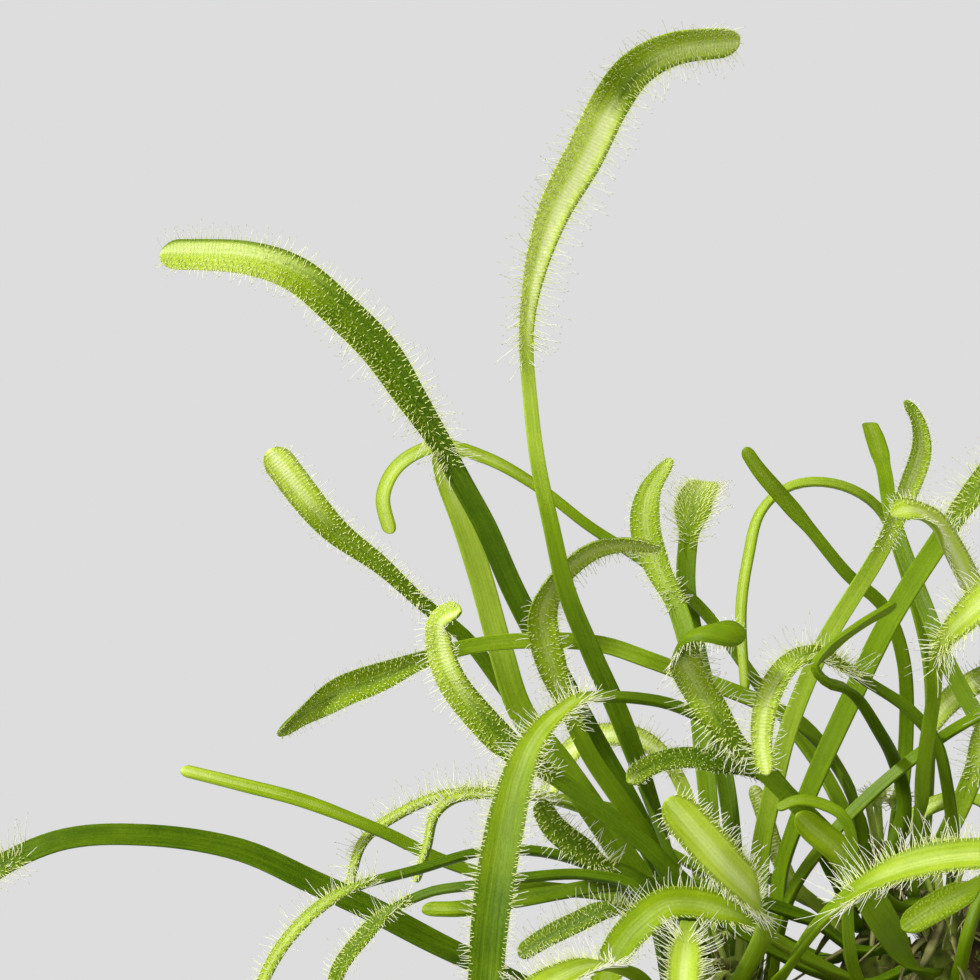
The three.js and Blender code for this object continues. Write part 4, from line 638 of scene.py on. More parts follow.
def leafSurface(way):
    # Stations along the leaf by points round its section: side = |cos a|^0.8, raised = |sin a|^0.7, with
    # signs. leafSpot: distance and side in mm, raised. leafKind: blade, edge, tone with its painted light
    # and
    # shade. leafFinish: relief, side as a share, place of the channel.
    angle = circle(leafLook["around"])
    side = np.sign(np.cos(angle)) * np.abs(np.cos(angle)) ** 0.8
    raised = np.sign(np.sin(angle)) * np.abs(np.sin(angle)) ** 0.7
    width, tip = way["width"][:, None], np.sqrt(way["tip"])[:, None]
    lift, thickness, blade = way["lift"][:, None], way["thickness"][:, None], way["kind"][:, None]
    height = sectionHeight(side, raised, lift, thickness, blade) * tip
    points = (way["place"][:, None] + way["across"][:, None] * (side * width / 2)[..., None]
              + way["face"][:, None] * height[..., None])
    distance = way["distance"][:, None] - way["bladeStart"]
    spot = np.stack(np.broadcast_arrays(distance, side * width / 2, raised), -1)
    kind = np.stack(np.broadcast_arrays(blade, np.abs(side), way["toneAndShading"][:, None]), -1)
    finish = np.stack(np.broadcast_arrays(way["relief"], side + 0 * blade, way["shift"]), -1)
    endSpot = np.array([[distance[0, 0], 0, 0], [way["length"] - way["bladeStart"], 0, 0]])
    endKind = np.array([[0, 0, way["toneAndShading"][0]], [1, 0, way["toneAndShading"][-1]]])
    endFinish = np.tile([way["relief"], 0, way["shift"]], (2, 1))
    faces = closedFaces(*points.shape[:2])
    points = np.vstack([points.reshape(-1, 3), way["place"][0], way["end"]])
    return closedShape(points, faces, 0, leafSpot=np.vstack([spot.reshape(-1, 3), endSpot]),
                       leafKind=np.vstack([kind.reshape(-1, 3), endKind]),
                       leafFinish=np.vstack([finish.reshape(-1, 3), endFinish]))


def tentacleTubes(roots, ways, bends, lengths, radius, long=0.0):
    # Thin bent three-sided tubes with a gland at the tip: root + L (t way + t² bend), of radius r(t). The
    # first ring lies inside the leaf. leafKind: t, share of the full length.
    share = np.array([-0.12, 0.03, 0.35, 0.7, 0.89, 0.95])
    size = np.reshape(radius, (-1, 1)) * np.array([1.9, 1.8, 1.15, 0.85, 0.8, 1.25])
    count, rings, sides = len(roots), len(share), 3
    t = share[:, None]
    centre = roots[:, None] + lengths[:, None, None] * (ways[:, None] * t + bends[:, None] * t * np.abs(t))
    tangent = unit(ways[:, None] + 2 * bends[:, None] * np.abs(t))
    side = unit(np.cross(tangent, np.array([0.31, 0.52, 0.79])))
    other = np.cross(tangent, side)
    angle = circle(sides)[:, None]
    ring = side[:, :, None] * np.cos(angle) + other[:, :, None] * np.sin(angle)
    tube = centre[:, :, None] + ring * size[..., None, None]
    last = roots + lengths[:, None] * (ways + bends)
    points = np.concatenate([tube.reshape(count, -1, 3), last[:, None]], axis=1)
    each = rings * sides + 1
    start = (each * np.arange(count))[:, None, None]
    quads = (start + gridFaces(rings, sides)).reshape(-1, 4)
    lids = np.vstack([np.arange(sides)[::-1], fan(each - 1 - sides + np.arange(sides), each - 1, False)])
    lids = (start + lids).reshape(-1, 3)
    kind = np.zeros((count, each, 3))
    kind[..., 0] = np.append(np.repeat(share, sides), 1)
    kind[..., 1] = np.reshape(long, (-1, 1))
    return closedShape(points.reshape(-1, 3), [quads, lids], 1, leafKind=kind.reshape(-1, 3))


def tentacleSeats(leaf, way):
    # Distance along the leaf, share of the half width and share of the full length for every tentacle:
    # rows along the blade, fewer but denser on a smooth one, and a tuft where it begins.
    seats = []
    for row, step, long in leafLook["tentacleRows"]:
        if way["relief"] < leafLook["smoothBelow"]:
            if row < leafLook["outerRow"]:
                continue
            step *= leafLook["denser"]
        rowStart = way["bladeStart"] - 1.5 + 0.25 * leaf["sizes"]["width"]
        for sign in ((-1, 1) if row else (1,)):
            spread = np.arange(rowStart, way["length"] - 0.25, step)
            spread = spread + step * random.uniform(-0.4, 0.4, len(spread))
            place = sign * (row + random.uniform(-0.06, 0.06, len(spread)) * (row < 1))
            seats.append(np.column_stack([spread, place, np.full(len(spread), long)]))
    tuft = leafLook["tuft"]
    tuftPlace = way["bladeStart"] + random.uniform(-2, 2.2, tuft)
    tuftSide = random.uniform(-1, 1, tuft)
    seats.append(np.column_stack([tuftPlace, tuftSide, random.uniform(0.7, 1.1, tuft)]))
    seats = np.vstack(seats)
    seats[:, 0] = np.clip(seats[:, 0], 0, way["length"] - 0.15)
    return seats.T


def leafTentacles(leaf, way, others):
    # The long ones splay out at the margin and the short ones stand up in the channel. Those that would
    # end in another leaf are left out.
    distance, side, long = tentacleSeats(leaf, way)

    def read(name):  # the stations' values at each seat
        rows = way[name] if way[name].ndim > 1 else way[name][:, None]
        return np.stack([np.interp(distance, way["distance"], column) for column in rows.T], -1)

    along, across, face = [unit(read(name)) for name in ("along", "across", "face")]
    widths, lift, thickness = [read(name)[:, 0] for name in ("width", "lift", "thickness")]
    kind, tip, toneAndShading = [read(name)[:, 0] for name in ("kind", "tip", "toneAndShading")]
    edge = np.abs(side) ** 6
    height = sectionHeight(side, mix(1.0, 0.25, edge), lift, thickness, kind) * np.sqrt(tip)
    root = read("place") + across * (0.97 * side * widths / 2)[:, None] + face * (height - 0.05)[:, None]
    run = (distance - way["bladeStart"]) / leaf["sizes"]["blade"]
    count = len(distance)
    toward = np.where(np.abs(side) > 0.12, np.sign(side), random.choice([-1.0, 1.0], count))
    splay = toward * mix(0.55, 1.05, np.abs(side) ** 3)
    lean = mix(-0.4, 0.1, smooth(-0.05, 0.25, run)) + 0.9 * smooth(0.88, 1.02, run)
    lean = lean + random.uniform(-0.38, 0.38, count)
    up = mix(1, 0.45, np.abs(side) ** 3) + random.uniform(-0.25, 0.25, count)
    out = unit(across * splay[:, None] + face * up[:, None] + along * lean[:, None])
    size = leaf["sizes"]["hair"] * long * mix(1.1, 0.65, np.clip(run, 0, 1))
    full = size * random.uniform(0.55, 1.15, count)
    bend = leafLook["waver"] * random.uniform(-1, 1, (count, 3))
    bend = bend + face * (0.2 * edge)[:, None] - along * 0.08
    # short ones are left off the channel where the tone, which holds painted light as well as young green,
    # is high, and off a narrow band of it where it lies near the margin
    bare = np.where(toneAndShading > 0.4, 0.5, 0.15 * (way["shift"] > 0.35))
    free = (np.abs(side - way["shift"]) > bare) | (long > 0.6)
    for t in (0.6, 1.0):
        place = root + full[:, None] * (t * out + t * t * bend)
        away = np.linalg.norm(place[:, None] - others[None, :, :3], axis=-1) - others[None, :, 3]
        free &= away.min(axis=1) > leafLook["clearance"]
    radius = leafLook["tentacleRadius"] * mix(leafLook["shortStout"], 1.0, smooth(0.2, 0.7, long))
    return tentacleTubes(root[free], out[free], bend[free], full[free], radius[free], long[free])


def leafPatterns(tree):
    # What the leaf's attributes say at a point, the patterns that its colours share, and its tone, which
    # carries painted light and shade.
    spot = addNode(tree, "Attribute", {"attribute_name": "leafSpot"}).outputs["Vector"]
    kind = addNode(tree, "Attribute", {"attribute_name": "leafKind"}).outputs["Vector"]
    finish = addNode(tree, "Attribute", {"attribute_name": "leafFinish"}).outputs["Vector"]
    place = addNode(tree, "SeparateXYZ", None, {"Vector": spot}).outputs
    part = addNode(tree, "SeparateXYZ", None, {"Vector": kind}).outputs
    relief = addNode(tree, "SeparateXYZ", None, {"Vector": finish}).outputs
    inPiece = addNode(tree, "TexCoord").outputs["Object"]
    patch = addNode(tree, "TexNoise", None,
                    {"Vector": inPiece, "Scale": 220.0, "Detail": 4.0}).outputs["Fac"]
    fleck = addNode(tree, "TexNoise", None,
                    {"Vector": inPiece, "Scale": 3200.0, "Detail": 1.0}).outputs["Fac"]
    lengthwise = addNode(tree, "VectorMath", times, {0: spot, 1: (0.08, 2.8, 0)})
    streak = addNode(tree, "TexNoise", {"noise_dimensions": "2D"},
                     {"Vector": lengthwise, "Scale": 1.0, "Detail": 3.0}).outputs["Fac"]
    # the tone along the leaf, its own greens with painted light and shade, shifted by lengthwise streaks, by
    # patches 5 mm across and by flecks of 0.3 mm
    streaked = addNode(tree, "Math", timesPlus, {0: streak, 1: 0.6, 2: part["Z"]})
    patched = addNode(tree, "Math", timesPlus, {0: patch, 1: 0.6, 2: streaked})
    shifted = addNode(tree, "Math", timesPlus, {0: fleck, 1: 0.35, 2: patched})
    toneAndShading = addNode(tree, "MapRange", None, {"Value": shifted, "From Min": -0.24, "From Max": 1.76})
    return {
        "spot": spot, "distance": place["X"], "raised": place["Z"], "blade": part["X"], "edge": part["Y"],
        "relief": relief["X"], "side": relief["Y"], "channelPlace": relief["Z"],
        "patch": patch, "fleck": fleck, "streak": streak, "toneAndShading": toneAndShading,
    }


def leafGround(tree, at):
    # Blade and stalk each pass from deep green to yellow-green with the tone, so that they also carry its
    # painted light and shade. The underside of the blade is smooth and a little more olive.
    bladeToneShaded = addNode(tree, "ValToRGB", {"stops": (
        (0.0, leafLook["deepGreen"]), (0.5, leafLook["bladeGreen"]), (1.0, leafLook["youngGreen"]))},
        {"Fac": at["toneAndShading"]})
    stalkToneShaded = addNode(tree, "ValToRGB", {"stops": (
        (0.0, leafLook["stalkDeep"]), (0.5, leafLook["stalkGreen"]), (1.0, leafLook["stalkPale"]))},
        {"Fac": at["toneAndShading"]})
    upper = addNode(tree, "MapRange", eased, {"Value": at["raised"], "From Min": -0.5, "From Max": 0.3})
    at["onBlade"] = addNode(tree, "Math", times, {0: at["blade"], 1: upper})
    at["rough"] = addNode(tree, "Math", times, {0: at["onBlade"], 1: at["relief"]})
    under = addNode(tree, "Mix", colourMix, {"Factor": 0.75, "A": leafLook["underGreen"], "B": bladeToneShaded})
    return stalkToneShaded, addNode(tree, "Mix", colourMix, {"Factor": upper, "A": under, "B": bladeToneShaded})


def channelColour(tree, at, blade):
    # The channel is paler, partly a painted highlight, where the leaf is young and lit; elsewhere its bottom
    # holds a darker line of painted shade.
    offset = addNode(tree, "Math", {"operation": "SUBTRACT"}, {0: at["side"], 1: at["channelPlace"]})
    away = addNode(tree, "Math", {"operation": "ABSOLUTE"}, {0: offset})
    middle = addNode(tree, "MapRange", eased, {"Value": away, "From Min": 0.5, "From Max": 0.1})
    channel = addNode(tree, "Math", times, {0: middle, 1: at["onBlade"]})
    young = addNode(tree, "Math", {"operation": "POWER"}, {0: at["toneAndShading"], 1: 2.5})
    # ribs across the blade, sin(2π d / step), bent by the patches, with greener gaps in the pale channel
    bent = addNode(tree, "Math", times, {0: at["patch"], 1: 20.0})
    ribPlace = addNode(tree, "Math", timesPlus,
                       {0: at["distance"], 1: 2 * math.pi / leafLook["ribStep"], 2: bent})
    wave = addNode(tree, "Math", {"operation": "SINE"}, {0: ribPlace})
    between = addNode(tree, "MapRange", None,
                      {"Value": wave, "From Min": 0.7, "From Max": -0.7, "To Max": 0.4})
    gap = addNode(tree, "Math", times, {0: between, 1: at["rough"]})
    # the smoother the blade, the less pale its channel and the weaker the highlight painted on it
    ribbing = addNode(tree, "MapRange", None, {"Value": at["relief"], "To Min": 0.5})
    whole = addNode(tree, "Math", {"operation": "SUBTRACT"}, {0: ribbing, 1: gap})
    # paler channel: young pale tissue with a painted highlight on it
    youngChannel = addNode(tree, "Math", times, {0: channel, 1: young})
    paleAndHighlightShow = addNode(tree, "Math", times, {0: youngChannel, 1: whole})
    paledAndHighlighted = addNode(tree, "Mix", colourMix, {"Factor": paleAndHighlightShow, "A": blade, "B": leafLook["paleAndHighlight"]})
    # painted shade: a darker line along the bottom of the channel, where the tone is low
    narrow = addNode(tree, "MapRange", eased,
                     {"Value": away, "From Min": 0.32, "From Max": 0.0, "To Max": 0.7})
    lowTone = addNode(tree, "MapRange", None, {"Value": at["toneAndShading"], "From Min": 0.55, "From Max": 0.25})
    lowToneGroove = addNode(tree, "Math", times, {0: narrow, 1: lowTone})
    grooveShadeShow = addNode(tree, "Math", times, {0: lowToneGroove, 1: at["rough"]})
    at.update(away=away, young=young, wave=wave)
    return addNode(tree, "Mix", colourMix, {"Factor": grooveShadeShow, "A": paledAndHighlighted, "B": leafLook["deepGreen"]})


def ribColour(tree, at, channelled):
    # Beside the channel the ribs are broken up and show where the tone is high: where the leaf is young and
    # where it is painted as lit.
    rib = addNode(tree, "MapRange", None,
                  {"Value": at["wave"], "From Min": -0.6, "From Max": 1.0, "To Max": 0.3})
    ribYoung = addNode(tree, "MapRange", None,
                       {"Value": at["toneAndShading"], "From Min": 0.4, "From Max": 0.9, "To Min": 0.12})
    broken = addNode(tree, "TexNoise", {"noise_dimensions": "2D"},
                     {"Vector": at["spot"], "Scale": 1.1, "Detail": 1.0})
    ribWhole = addNode(tree, "MapRange", None,
                       {"Value": broken.outputs["Fac"], "From Min": 0.35, "From Max": 0.6})
    ribRough = addNode(tree, "Math", times, {0: at["rough"], 1: rib})
    ribPart = addNode(tree, "Math", times, {0: ribYoung, 1: ribWhole})
    at["ribShow"] = addNode(tree, "Math", times, {0: ribRough, 1: ribPart})
    at["ribTint"] = addNode(tree, "Mix", colourMix, {
        "Factor": at["young"], "A": leafLook["ribGreen"], "B": leafLook["paleAndHighlight"]})
    return addNode(tree, "Mix", colourMix, {"Factor": at["ribShow"], "A": channelled, "B": at["ribTint"]})


def pimpleColour(tree, at, ribbed):
    # Pimples about 0.45 mm apart, a shade paler, stronger towards the margin.
    pimples = addNode(tree, "TexVoronoi", {"voronoi_dimensions": "2D"}, {"Vector": at["spot"], "Scale": 2.2})
    pimple = addNode(tree, "MapRange", eased,
                     {"Value": pimples.outputs["Distance"], "From Min": 0.42, "From Max": 0.12})
    outer = addNode(tree, "MapRange", None, {"Value": at["away"], "From Min": 0.25, "To Min": 0.2})
    outerPimple = addNode(tree, "Math", times, {0: pimple, 1: outer})
    at["pimpleShow"] = addNode(tree, "Math", times, {0: outerPimple, 1: at["rough"]})
    tint = addNode(tree, "Math", times, {0: at["pimpleShow"], 1: 0.85})
    return addNode(tree, "Mix", colourMix, {"Factor": tint, "A": ribbed, "B": at["ribTint"]})


def leafColour(tree):
    # Living leaf, a waxy skin over wet green tissue: satin stalk with faint lengthwise lines, softer blade,
    # paler along its channel, partly a painted highlight, with faint ribs and pimples, and a rim of painted
    # shade.
    at = leafPatterns(tree)
    stalkToneShaded, blade = leafGround(tree, at)
    dotted = pimpleColour(tree, at, ribColour(tree, at, channelColour(tree, at, blade)))
    # painted shade: a thin darker rim, strongest on the side that the channel lies towards
    rimShadeSide = addNode(tree, "MapRange", None,
                      {"Value": at["away"], "From Min": 1.1, "From Max": 0.8, "To Max": 0.8})
    rimShadeEdge = addNode(tree, "MapRange", eased, {"Value": at["edge"], "From Min": 0.7, "From Max": 0.95})
    rimShade = addNode(tree, "Math", times, {0: rimShadeSide, 1: rimShadeEdge})
    rimShaded = addNode(tree, "Mix", colourMix, {"Factor": rimShade, "A": dotted, "B": leafLook["deepGreen"]})
    mixed = addNode(tree, "Mix", colourMix, {"Factor": at["blade"], "A": stalkToneShaded, "B": rimShaded})
    ribHeight = addNode(tree, "Math", timesPlus, {0: at["ribShow"], 1: 2.0, 2: at["pimpleShow"]})
    fleckHeight = addNode(tree, "Math", timesPlus, {0: at["fleck"], 1: 0.15, 2: ribHeight})
    height = addNode(tree, "Math", timesPlus, {0: at["streak"], 1: 0.5, 2: fleckHeight})
    bump = addNode(tree, "Bump", None, {"Height": height, "Strength": 0.6, "Distance": 0.0002})
    gloss = addNode(tree, "MapRange", None, {"Value": at["blade"], "To Min": 0.42, "To Max": 0.48})
    return {"Base Color": mixed, "Normal": bump, "Roughness": gloss}


def tentacleColour(tree):
    # Clear watery stalk of one row of cells, green at its foot. The long ones end in a dull brown gland and
    # the short ones are yellower, with a pale gland.
    kind = addNode(tree, "Attribute", {"attribute_name": "leafKind"})
    part = addNode(tree, "SeparateXYZ", None, {"Vector": kind.outputs["Vector"]}).outputs
    size = addNode(tree, "MapRange", None, {"Value": part["Y"], "From Min": 0.3, "From Max": 0.9})
    stalk = addNode(tree, "Mix", colourMix,
                    {"Factor": size, "A": leafLook["shortStalk"], "B": leafLook["longStalk"]})
    foot = addNode(tree, "MapRange", None, {"Value": part["X"], "From Max": 0.35})
    stem = addNode(tree, "Mix", colourMix, {"Factor": foot, "A": leafLook["tentacleFoot"], "B": stalk})
    head = addNode(tree, "Mix", colourMix,
                   {"Factor": size, "A": leafLook["shortGland"], "B": leafLook["gland"]})
    end = addNode(tree, "MapRange", None, {"Value": part["X"], "From Min": 0.88, "From Max": 0.97})
    return {"Base Color": addNode(tree, "Mix", colourMix, {"Factor": end, "A": stem, "B": head})}


leafSkin = newMaterial("sundewLeafSkin", leafColour, {
    "IOR": 1.4, "Specular IOR Level": 0.17, "Subsurface Weight": 0.4, "Subsurface Radius": (0.9, 1.0, 0.15),
    "Subsurface Scale": 0.0012})
tentacleSkin = newMaterial("sundewTentacle", tentacleColour, {
    "IOR": 1.38, "Roughness": 0.35, "Subsurface Weight": 0.3, "Subsurface Radius": (1.0, 1.0, 0.5),
    "Subsurface Scale": 0.0003})

# Tentacles keep clear of every third station of the other leaves and of 20 places up each stem.
ways = [leafStations(leaf) for leaf in leaves]
routes = [np.column_stack([way["place"], way["width"] / 2])[::3] for way in ways]
stems = np.vstack([
    np.column_stack([np.tile((x, y), (20, 1)), np.linspace(foot, top, 20), np.full(20, stemRadius)])
    for x, y, foot, top in crowns.values()])
for leaf, way, own in zip(leaves, ways, routes):
    name = f"{leaf['number']:02d}"
    others = np.vstack([stems] + [route for route in routes if route is not own])
    shapes = [leafSurface(way)]
    if leaf["sizes"]["hair"]:
        shapes.append(leafTentacles(leaf, way, others))
    makePiece("sundewLeaf" + name, "leaf_" + name, shapes, [leafSkin, tentacleSkin])
triangles = [sum(len(face.vertices) - 2 for face in piece.data.polygons) for piece in bpy.data.objects
             if piece.name.startswith("sundewLeaf")]
print("leaves made:", len(leaves), "with", sum(triangles), "triangles, the most in one", max(triangles))


# The pot, and the soil: peat that is nearly level by the wall and rises to a round-topped hummock under
# the stems.
potLook = {
    "height": 80, "topRadius": 45, "footRadius": 34, "wall": 1.8, "floor": 2, "lipHeight": 6,
    "lipOverhang": 2.2, "around": 128, "cornerRadii": (1.2, 0.4, 0.6, 0.9, 0.5, 1.0),
    "plastic": "#2c2f31", "dust": "#6d6c64",
}
soilLook = {
    "edgeHeight": 75.5, "hummock": (17, 5, 25, 20),  # x, y, rise, spread
    "gap": 0.3, "openRadius": 41.5,  # the gap to the pot, and how far out the loose pieces lie
    "rings": 150, "around": 220, "crumb": 0.55, "crumbSize": 3.2,
    "grains": 900, "grainSize": (0.35, 0.95), "fibres": 700, "mossShoots": 1300, "mossHeight": (1.2, 3.0),
    "darkPeat": "#2b2116", "brownPeat": "#5b462e", "greyPeat": "#77705c", "algae": "#59642a",
    "grain": "#c9c2b0", "dullGrain": "#8f8878", "fibre": "#8d6d45", "darkFibre": "#4e3b26",
    "moss": "#6f8a2c", "mossTip": "#a8bb52",
}


def wallRadius(height):  # the pot's outer radius, which grows evenly with the height
    return mix(potLook["footRadius"], potLook["topRadius"], height / potLook["height"])


def soilHeight(x, y):
    # rise · e^(−a^2.3), a the distance from the middle of the hummock over its spread, and two low waves
    middleX, middleY, rise, spread = soilLook["hummock"]
    away = np.hypot(x - middleX, y - middleY) / spread
    edge = np.hypot(x, y) / (wallRadius(soilLook["edgeHeight"]) - potLook["wall"])
    mound = rise * np.exp(-away ** 2.3) * (1 - smooth(0.7, 1, edge))
    lumps = 0.6 * np.sin(0.55 * x + 1) * np.cos(0.48 * y) + 0.45 * np.sin(0.9 * y - 0.6 * x)
    return soilLook["edgeHeight"] + mound + lumps * (1 - smooth(0.85, 1, edge))


def turned(profile, around):
    # A closed profile of (radius, height) from the axis round to the axis, turned about Z.
    radius, height = np.array(profile[1:-1], float).T
    angle = circle(around)
    points = np.stack(np.broadcast_arrays(radius[:, None] * np.cos(angle), radius[:, None] * np.sin(angle),
                                          height[:, None]), -1)
    points = np.vstack([points.reshape(-1, 3), (0, 0, profile[0][1]), (0, 0, profile[-1][1])])
    return closedShape(points, closedFaces(len(radius), around))


def rounded(corners, radii, steps=5):
    # Each corner of a profile becomes a curve (1 − t)² a + 2 t (1 − t) corner + t² b between points a and b
    # that lie its radius away from it.
    corners = np.array(corners, float)
    t = np.linspace(0, 1, steps)[:, None]
    line = [corners[:1]]
    for before, corner, after, radius in zip(corners, corners[1:], corners[2:], radii):
        a = corner + unit(before - corner) * radius
        b = corner + unit(after - corner) * radius
        line.append((1 - t) ** 2 * a + 2 * t * (1 - t) * corner + t ** 2 * b)
    return [tuple(point) for point in np.vstack(line + [corners[-1:]])]


def potColour(tree):
    # Injection-moulded polypropylene: dark satin skin, mould grain of 0.4 mm, dust in clouds of 17 mm, and
    # lime in runs 4 mm wide and 80 mm long.
    inPiece = addNode(tree, "TexCoord").outputs["Object"]
    dust = addNode(tree, "TexNoise", None,
                   {"Vector": inPiece, "Scale": 60.0, "Detail": 6.0, "Roughness": 0.62})
    drawn = addNode(tree, "VectorMath", times, {0: inPiece, 1: (260, 260, 12)})
    runs = addNode(tree, "TexNoise", None, {"Vector": drawn, "Scale": 1.0, "Detail": 4.0})
    both = addNode(tree, "Math", times, {0: dust.outputs["Fac"], 1: runs.outputs["Fac"]})
    share = addNode(tree, "MapRange", eased,
                    {"Value": both, "From Min": 0.24, "From Max": 0.46, "To Max": 0.5})
    colour = addNode(tree, "Mix", colourMix,
                     {"Factor": share, "A": potLook["plastic"], "B": potLook["dust"]})
    grain = addNode(tree, "TexNoise", None, {"Vector": inPiece, "Scale": 2600.0})
    rough = addNode(tree, "MapRange", None,
                    {"Value": share, "From Max": 0.5, "To Min": 0.42, "To Max": 0.8})
    bump = addNode(tree, "Bump", None,
                   {"Height": grain.outputs["Fac"], "Strength": 0.35, "Distance": 0.00006})
    return {"Base Color": colour, "Roughness": rough, "Normal": bump}


def peatColour(tree):
    # Damp milled peat: dark crumbs of 2.4 mm with paler dry tops, and a green film of algae and moss in
    # patches of 10 mm.
    inPiece = addNode(tree, "TexCoord").outputs["Object"]
    crumbs = addNode(tree, "TexNoise", None,
                     {"Vector": inPiece, "Scale": 420.0, "Detail": 8.0, "Roughness": 0.66})
    patches = addNode(tree, "TexNoise", None, {"Vector": inPiece, "Scale": 95.0, "Detail": 5.0})
    ramp = addNode(tree, "ValToRGB", {"stops": (
        (0.32, soilLook["darkPeat"]), (0.52, soilLook["brownPeat"]), (0.72, soilLook["greyPeat"]))},
        {"Fac": crumbs.outputs["Fac"]})
    film = addNode(tree, "MapRange", eased,
                   {"Value": patches.outputs["Fac"], "From Min": 0.46, "From Max": 0.62, "To Max": 0.7})
    colour = addNode(tree, "Mix", colourMix, {"Factor": film, "A": ramp, "B": soilLook["algae"]})
    fine = addNode(tree, "TexNoise", None,
                   {"Vector": inPiece, "Scale": 1500.0, "Detail": 6.0, "Roughness": 0.7})
    bump = addNode(tree, "Bump", None, {"Height": fine.outputs["Fac"], "Strength": 0.9, "Distance": 0.0004})
    return {"Base Color": colour, "Normal": bump}


def variedColour(first, second, scale):
    # Two tones of one natural material, mixed by noise over the piece in patches of 1000 / scale mm.
    def colour(tree):
        inPiece = addNode(tree, "TexCoord").outputs["Object"]
        patch = addNode(tree, "TexNoise", None, {"Vector": inPiece, "Scale": scale, "Detail": 3.0})
        ramp = addNode(tree, "ValToRGB", {"stops": ((0.36, first), (0.64, second))},
                       {"Fac": patch.outputs["Fac"]})
        bump = addNode(tree, "Bump", None,
                       {"Height": patch.outputs["Fac"], "Strength": 0.4, "Distance": 0.0002})
        return {"Base Color": ramp, "Normal": bump}
    return colour


lip = potLook["topRadius"] + potLook["lipOverhang"]
lipFoot = potLook["height"] - potLook["lipHeight"]
potProfile = rounded([
    (0, 0), (potLook["footRadius"], 0), (wallRadius(lipFoot), lipFoot), (lip, lipFoot),
    (lip, potLook["height"]),
    (wallRadius(potLook["height"]) - potLook["wall"], potLook["height"]),
    (wallRadius(potLook["floor"]) - potLook["wall"], potLook["floor"]), (0, potLook["floor"]),
], potLook["cornerRadii"])
potPlastic = newMaterial("mouldedPolypropylene", potColour, {"IOR": 1.49})
makePiece("sundewPot", "pot", [turned(potProfile, potLook["around"])], [potPlastic])
print("pot made")


def soilSurface():
    # Rings close in on the top of the hummock; crumbs are value noise on the height of the open surface.
    bottom = potLook["floor"] + soilLook["gap"]
    inside = wallRadius(soilLook["edgeHeight"]) - potLook["wall"] - soilLook["gap"]
    middleX, middleY = soilLook["hummock"][:2]
    around = soilLook["around"]
    angle = circle(around)
    share = np.linspace(1, 0, soilLook["rings"], endpoint=False)[:, None]
    x = mix(middleX, inside * np.cos(angle), share)
    y = mix(middleY, inside * np.sin(angle), share)
    flat = np.stack([x, y], -1)
    crumbs = noise(flat, soilLook["crumbSize"], 4, 3.7) + 0.5 * np.abs(noise(flat, 1.1, 2, 9.1))
    z = soilHeight(x, y) + soilLook["crumb"] * crumbs * smooth(1, 0.97, share)
    baseRadius = wallRadius(bottom) - potLook["wall"] - soilLook["gap"]
    low = baseRadius * np.stack([np.cos(angle), np.sin(angle)], -1)
    base = np.column_stack([low, np.full(around, bottom)])
    points = np.vstack([base, np.stack([x, y, z], -1).reshape(-1, 3),
                        (0, 0, bottom), (middleX, middleY, soilHeight(middleX, middleY))])
    return closedShape(points, closedFaces(soilLook["rings"] + 1, around))


def soilPlaces(count):
    # Random places on the open soil: radius R √u, angle 2π v.
    radius = 0.97 * soilLook["openRadius"] * np.sqrt(random.uniform(0, 1, count))
    angle = random.uniform(0, 2 * math.pi, count)
    x, y = radius * np.cos(angle), radius * np.sin(angle)
    return np.column_stack([x, y, soilHeight(x, y)])


def doublePyramids(corners, faces, material):
    # Many small bodies of six corners each, as one shape.
    start = 6 * np.arange(corners.size // 18)[:, None, None]
    return closedShape(corners.reshape(-1, 3), [(start + np.array(faces)).reshape(-1, 3)], material)


def grains(places, sizes, material):
    # Angular grains: an octahedron's six corners, each pushed in or out at random.
    corner = np.vstack([np.eye(3), -np.eye(3)])
    faces = [(0, 1, 2), (1, 3, 2), (3, 4, 2), (4, 0, 2), (1, 0, 5), (3, 1, 5), (4, 3, 5), (0, 4, 5)]
    count = len(places)
    scale = sizes[:, None, None] * random.uniform(0.6, 1.1, (count, 6, 1))
    axes = np.linalg.qr(random.normal(size=(count, 3, 3)))[0]
    axes *= np.sign(np.linalg.det(axes))[:, None, None]
    return doublePyramids(places[:, None] + (corner * scale) @ axes, faces, material)


def mossShoots(places, material):
    # Upright moss shoots: a stem with thin pointed leaves, each one flat lozenge of two sides, set by the
    # golden angle and leaning out less towards the tip.
    count, each = len(places), 9
    height = random.uniform(*soilLook["mossHeight"], count)[:, None]
    level = np.linspace(0.1, 1, each)
    turn = goldenAngle * np.arange(each) + random.uniform(0, 6.3, count)[:, None]
    lean = mix(1.1, 0.25, level)
    out = np.stack([np.cos(turn) * np.sin(lean), np.sin(turn) * np.sin(lean), np.cos(lean) + 0 * turn], -1)
    side = np.stack([-np.sin(turn), np.cos(turn), 0 * turn], -1)
    tilt = random.uniform(-0.25, 0.25, (count, 1, 3)) * np.array([1, 1, 0])
    foot = places[:, None] + (upward + tilt) * (height * level * 0.75)[..., None]
    length, width, thickness = 0.85 * mix(1, 0.6, level)[:, None], 0.13, 0.06
    back = np.cross(out, side)
    middle = foot + out * 0.45 * length
    corners = np.stack([foot, middle + side * width, foot + out * length, middle - side * width,
                        middle + back * thickness, middle - back * thickness], axis=-2)
    faces = [(0, 1, 4), (1, 2, 4), (2, 3, 4), (3, 0, 4), (1, 0, 5), (2, 1, 5), (3, 2, 5), (0, 3, 5)]
    return doublePyramids(corners, faces, material)


def fibres(places, material):
    # Peat fibres and dead roots: bent three-sided threads lying on the soil.
    count = len(places)
    ways = unit(random.normal(size=(count, 3)) * np.array([1, 1, 0.16]))
    bends = random.uniform(-0.45, 0.45, (count, 3)) * np.array([1, 1, 0.3])
    tube = tentacleTubes(places + 0.25 * upward, ways, bends, random.uniform(1.5, 6, count), 0.07)
    return {**tube, "material": material}


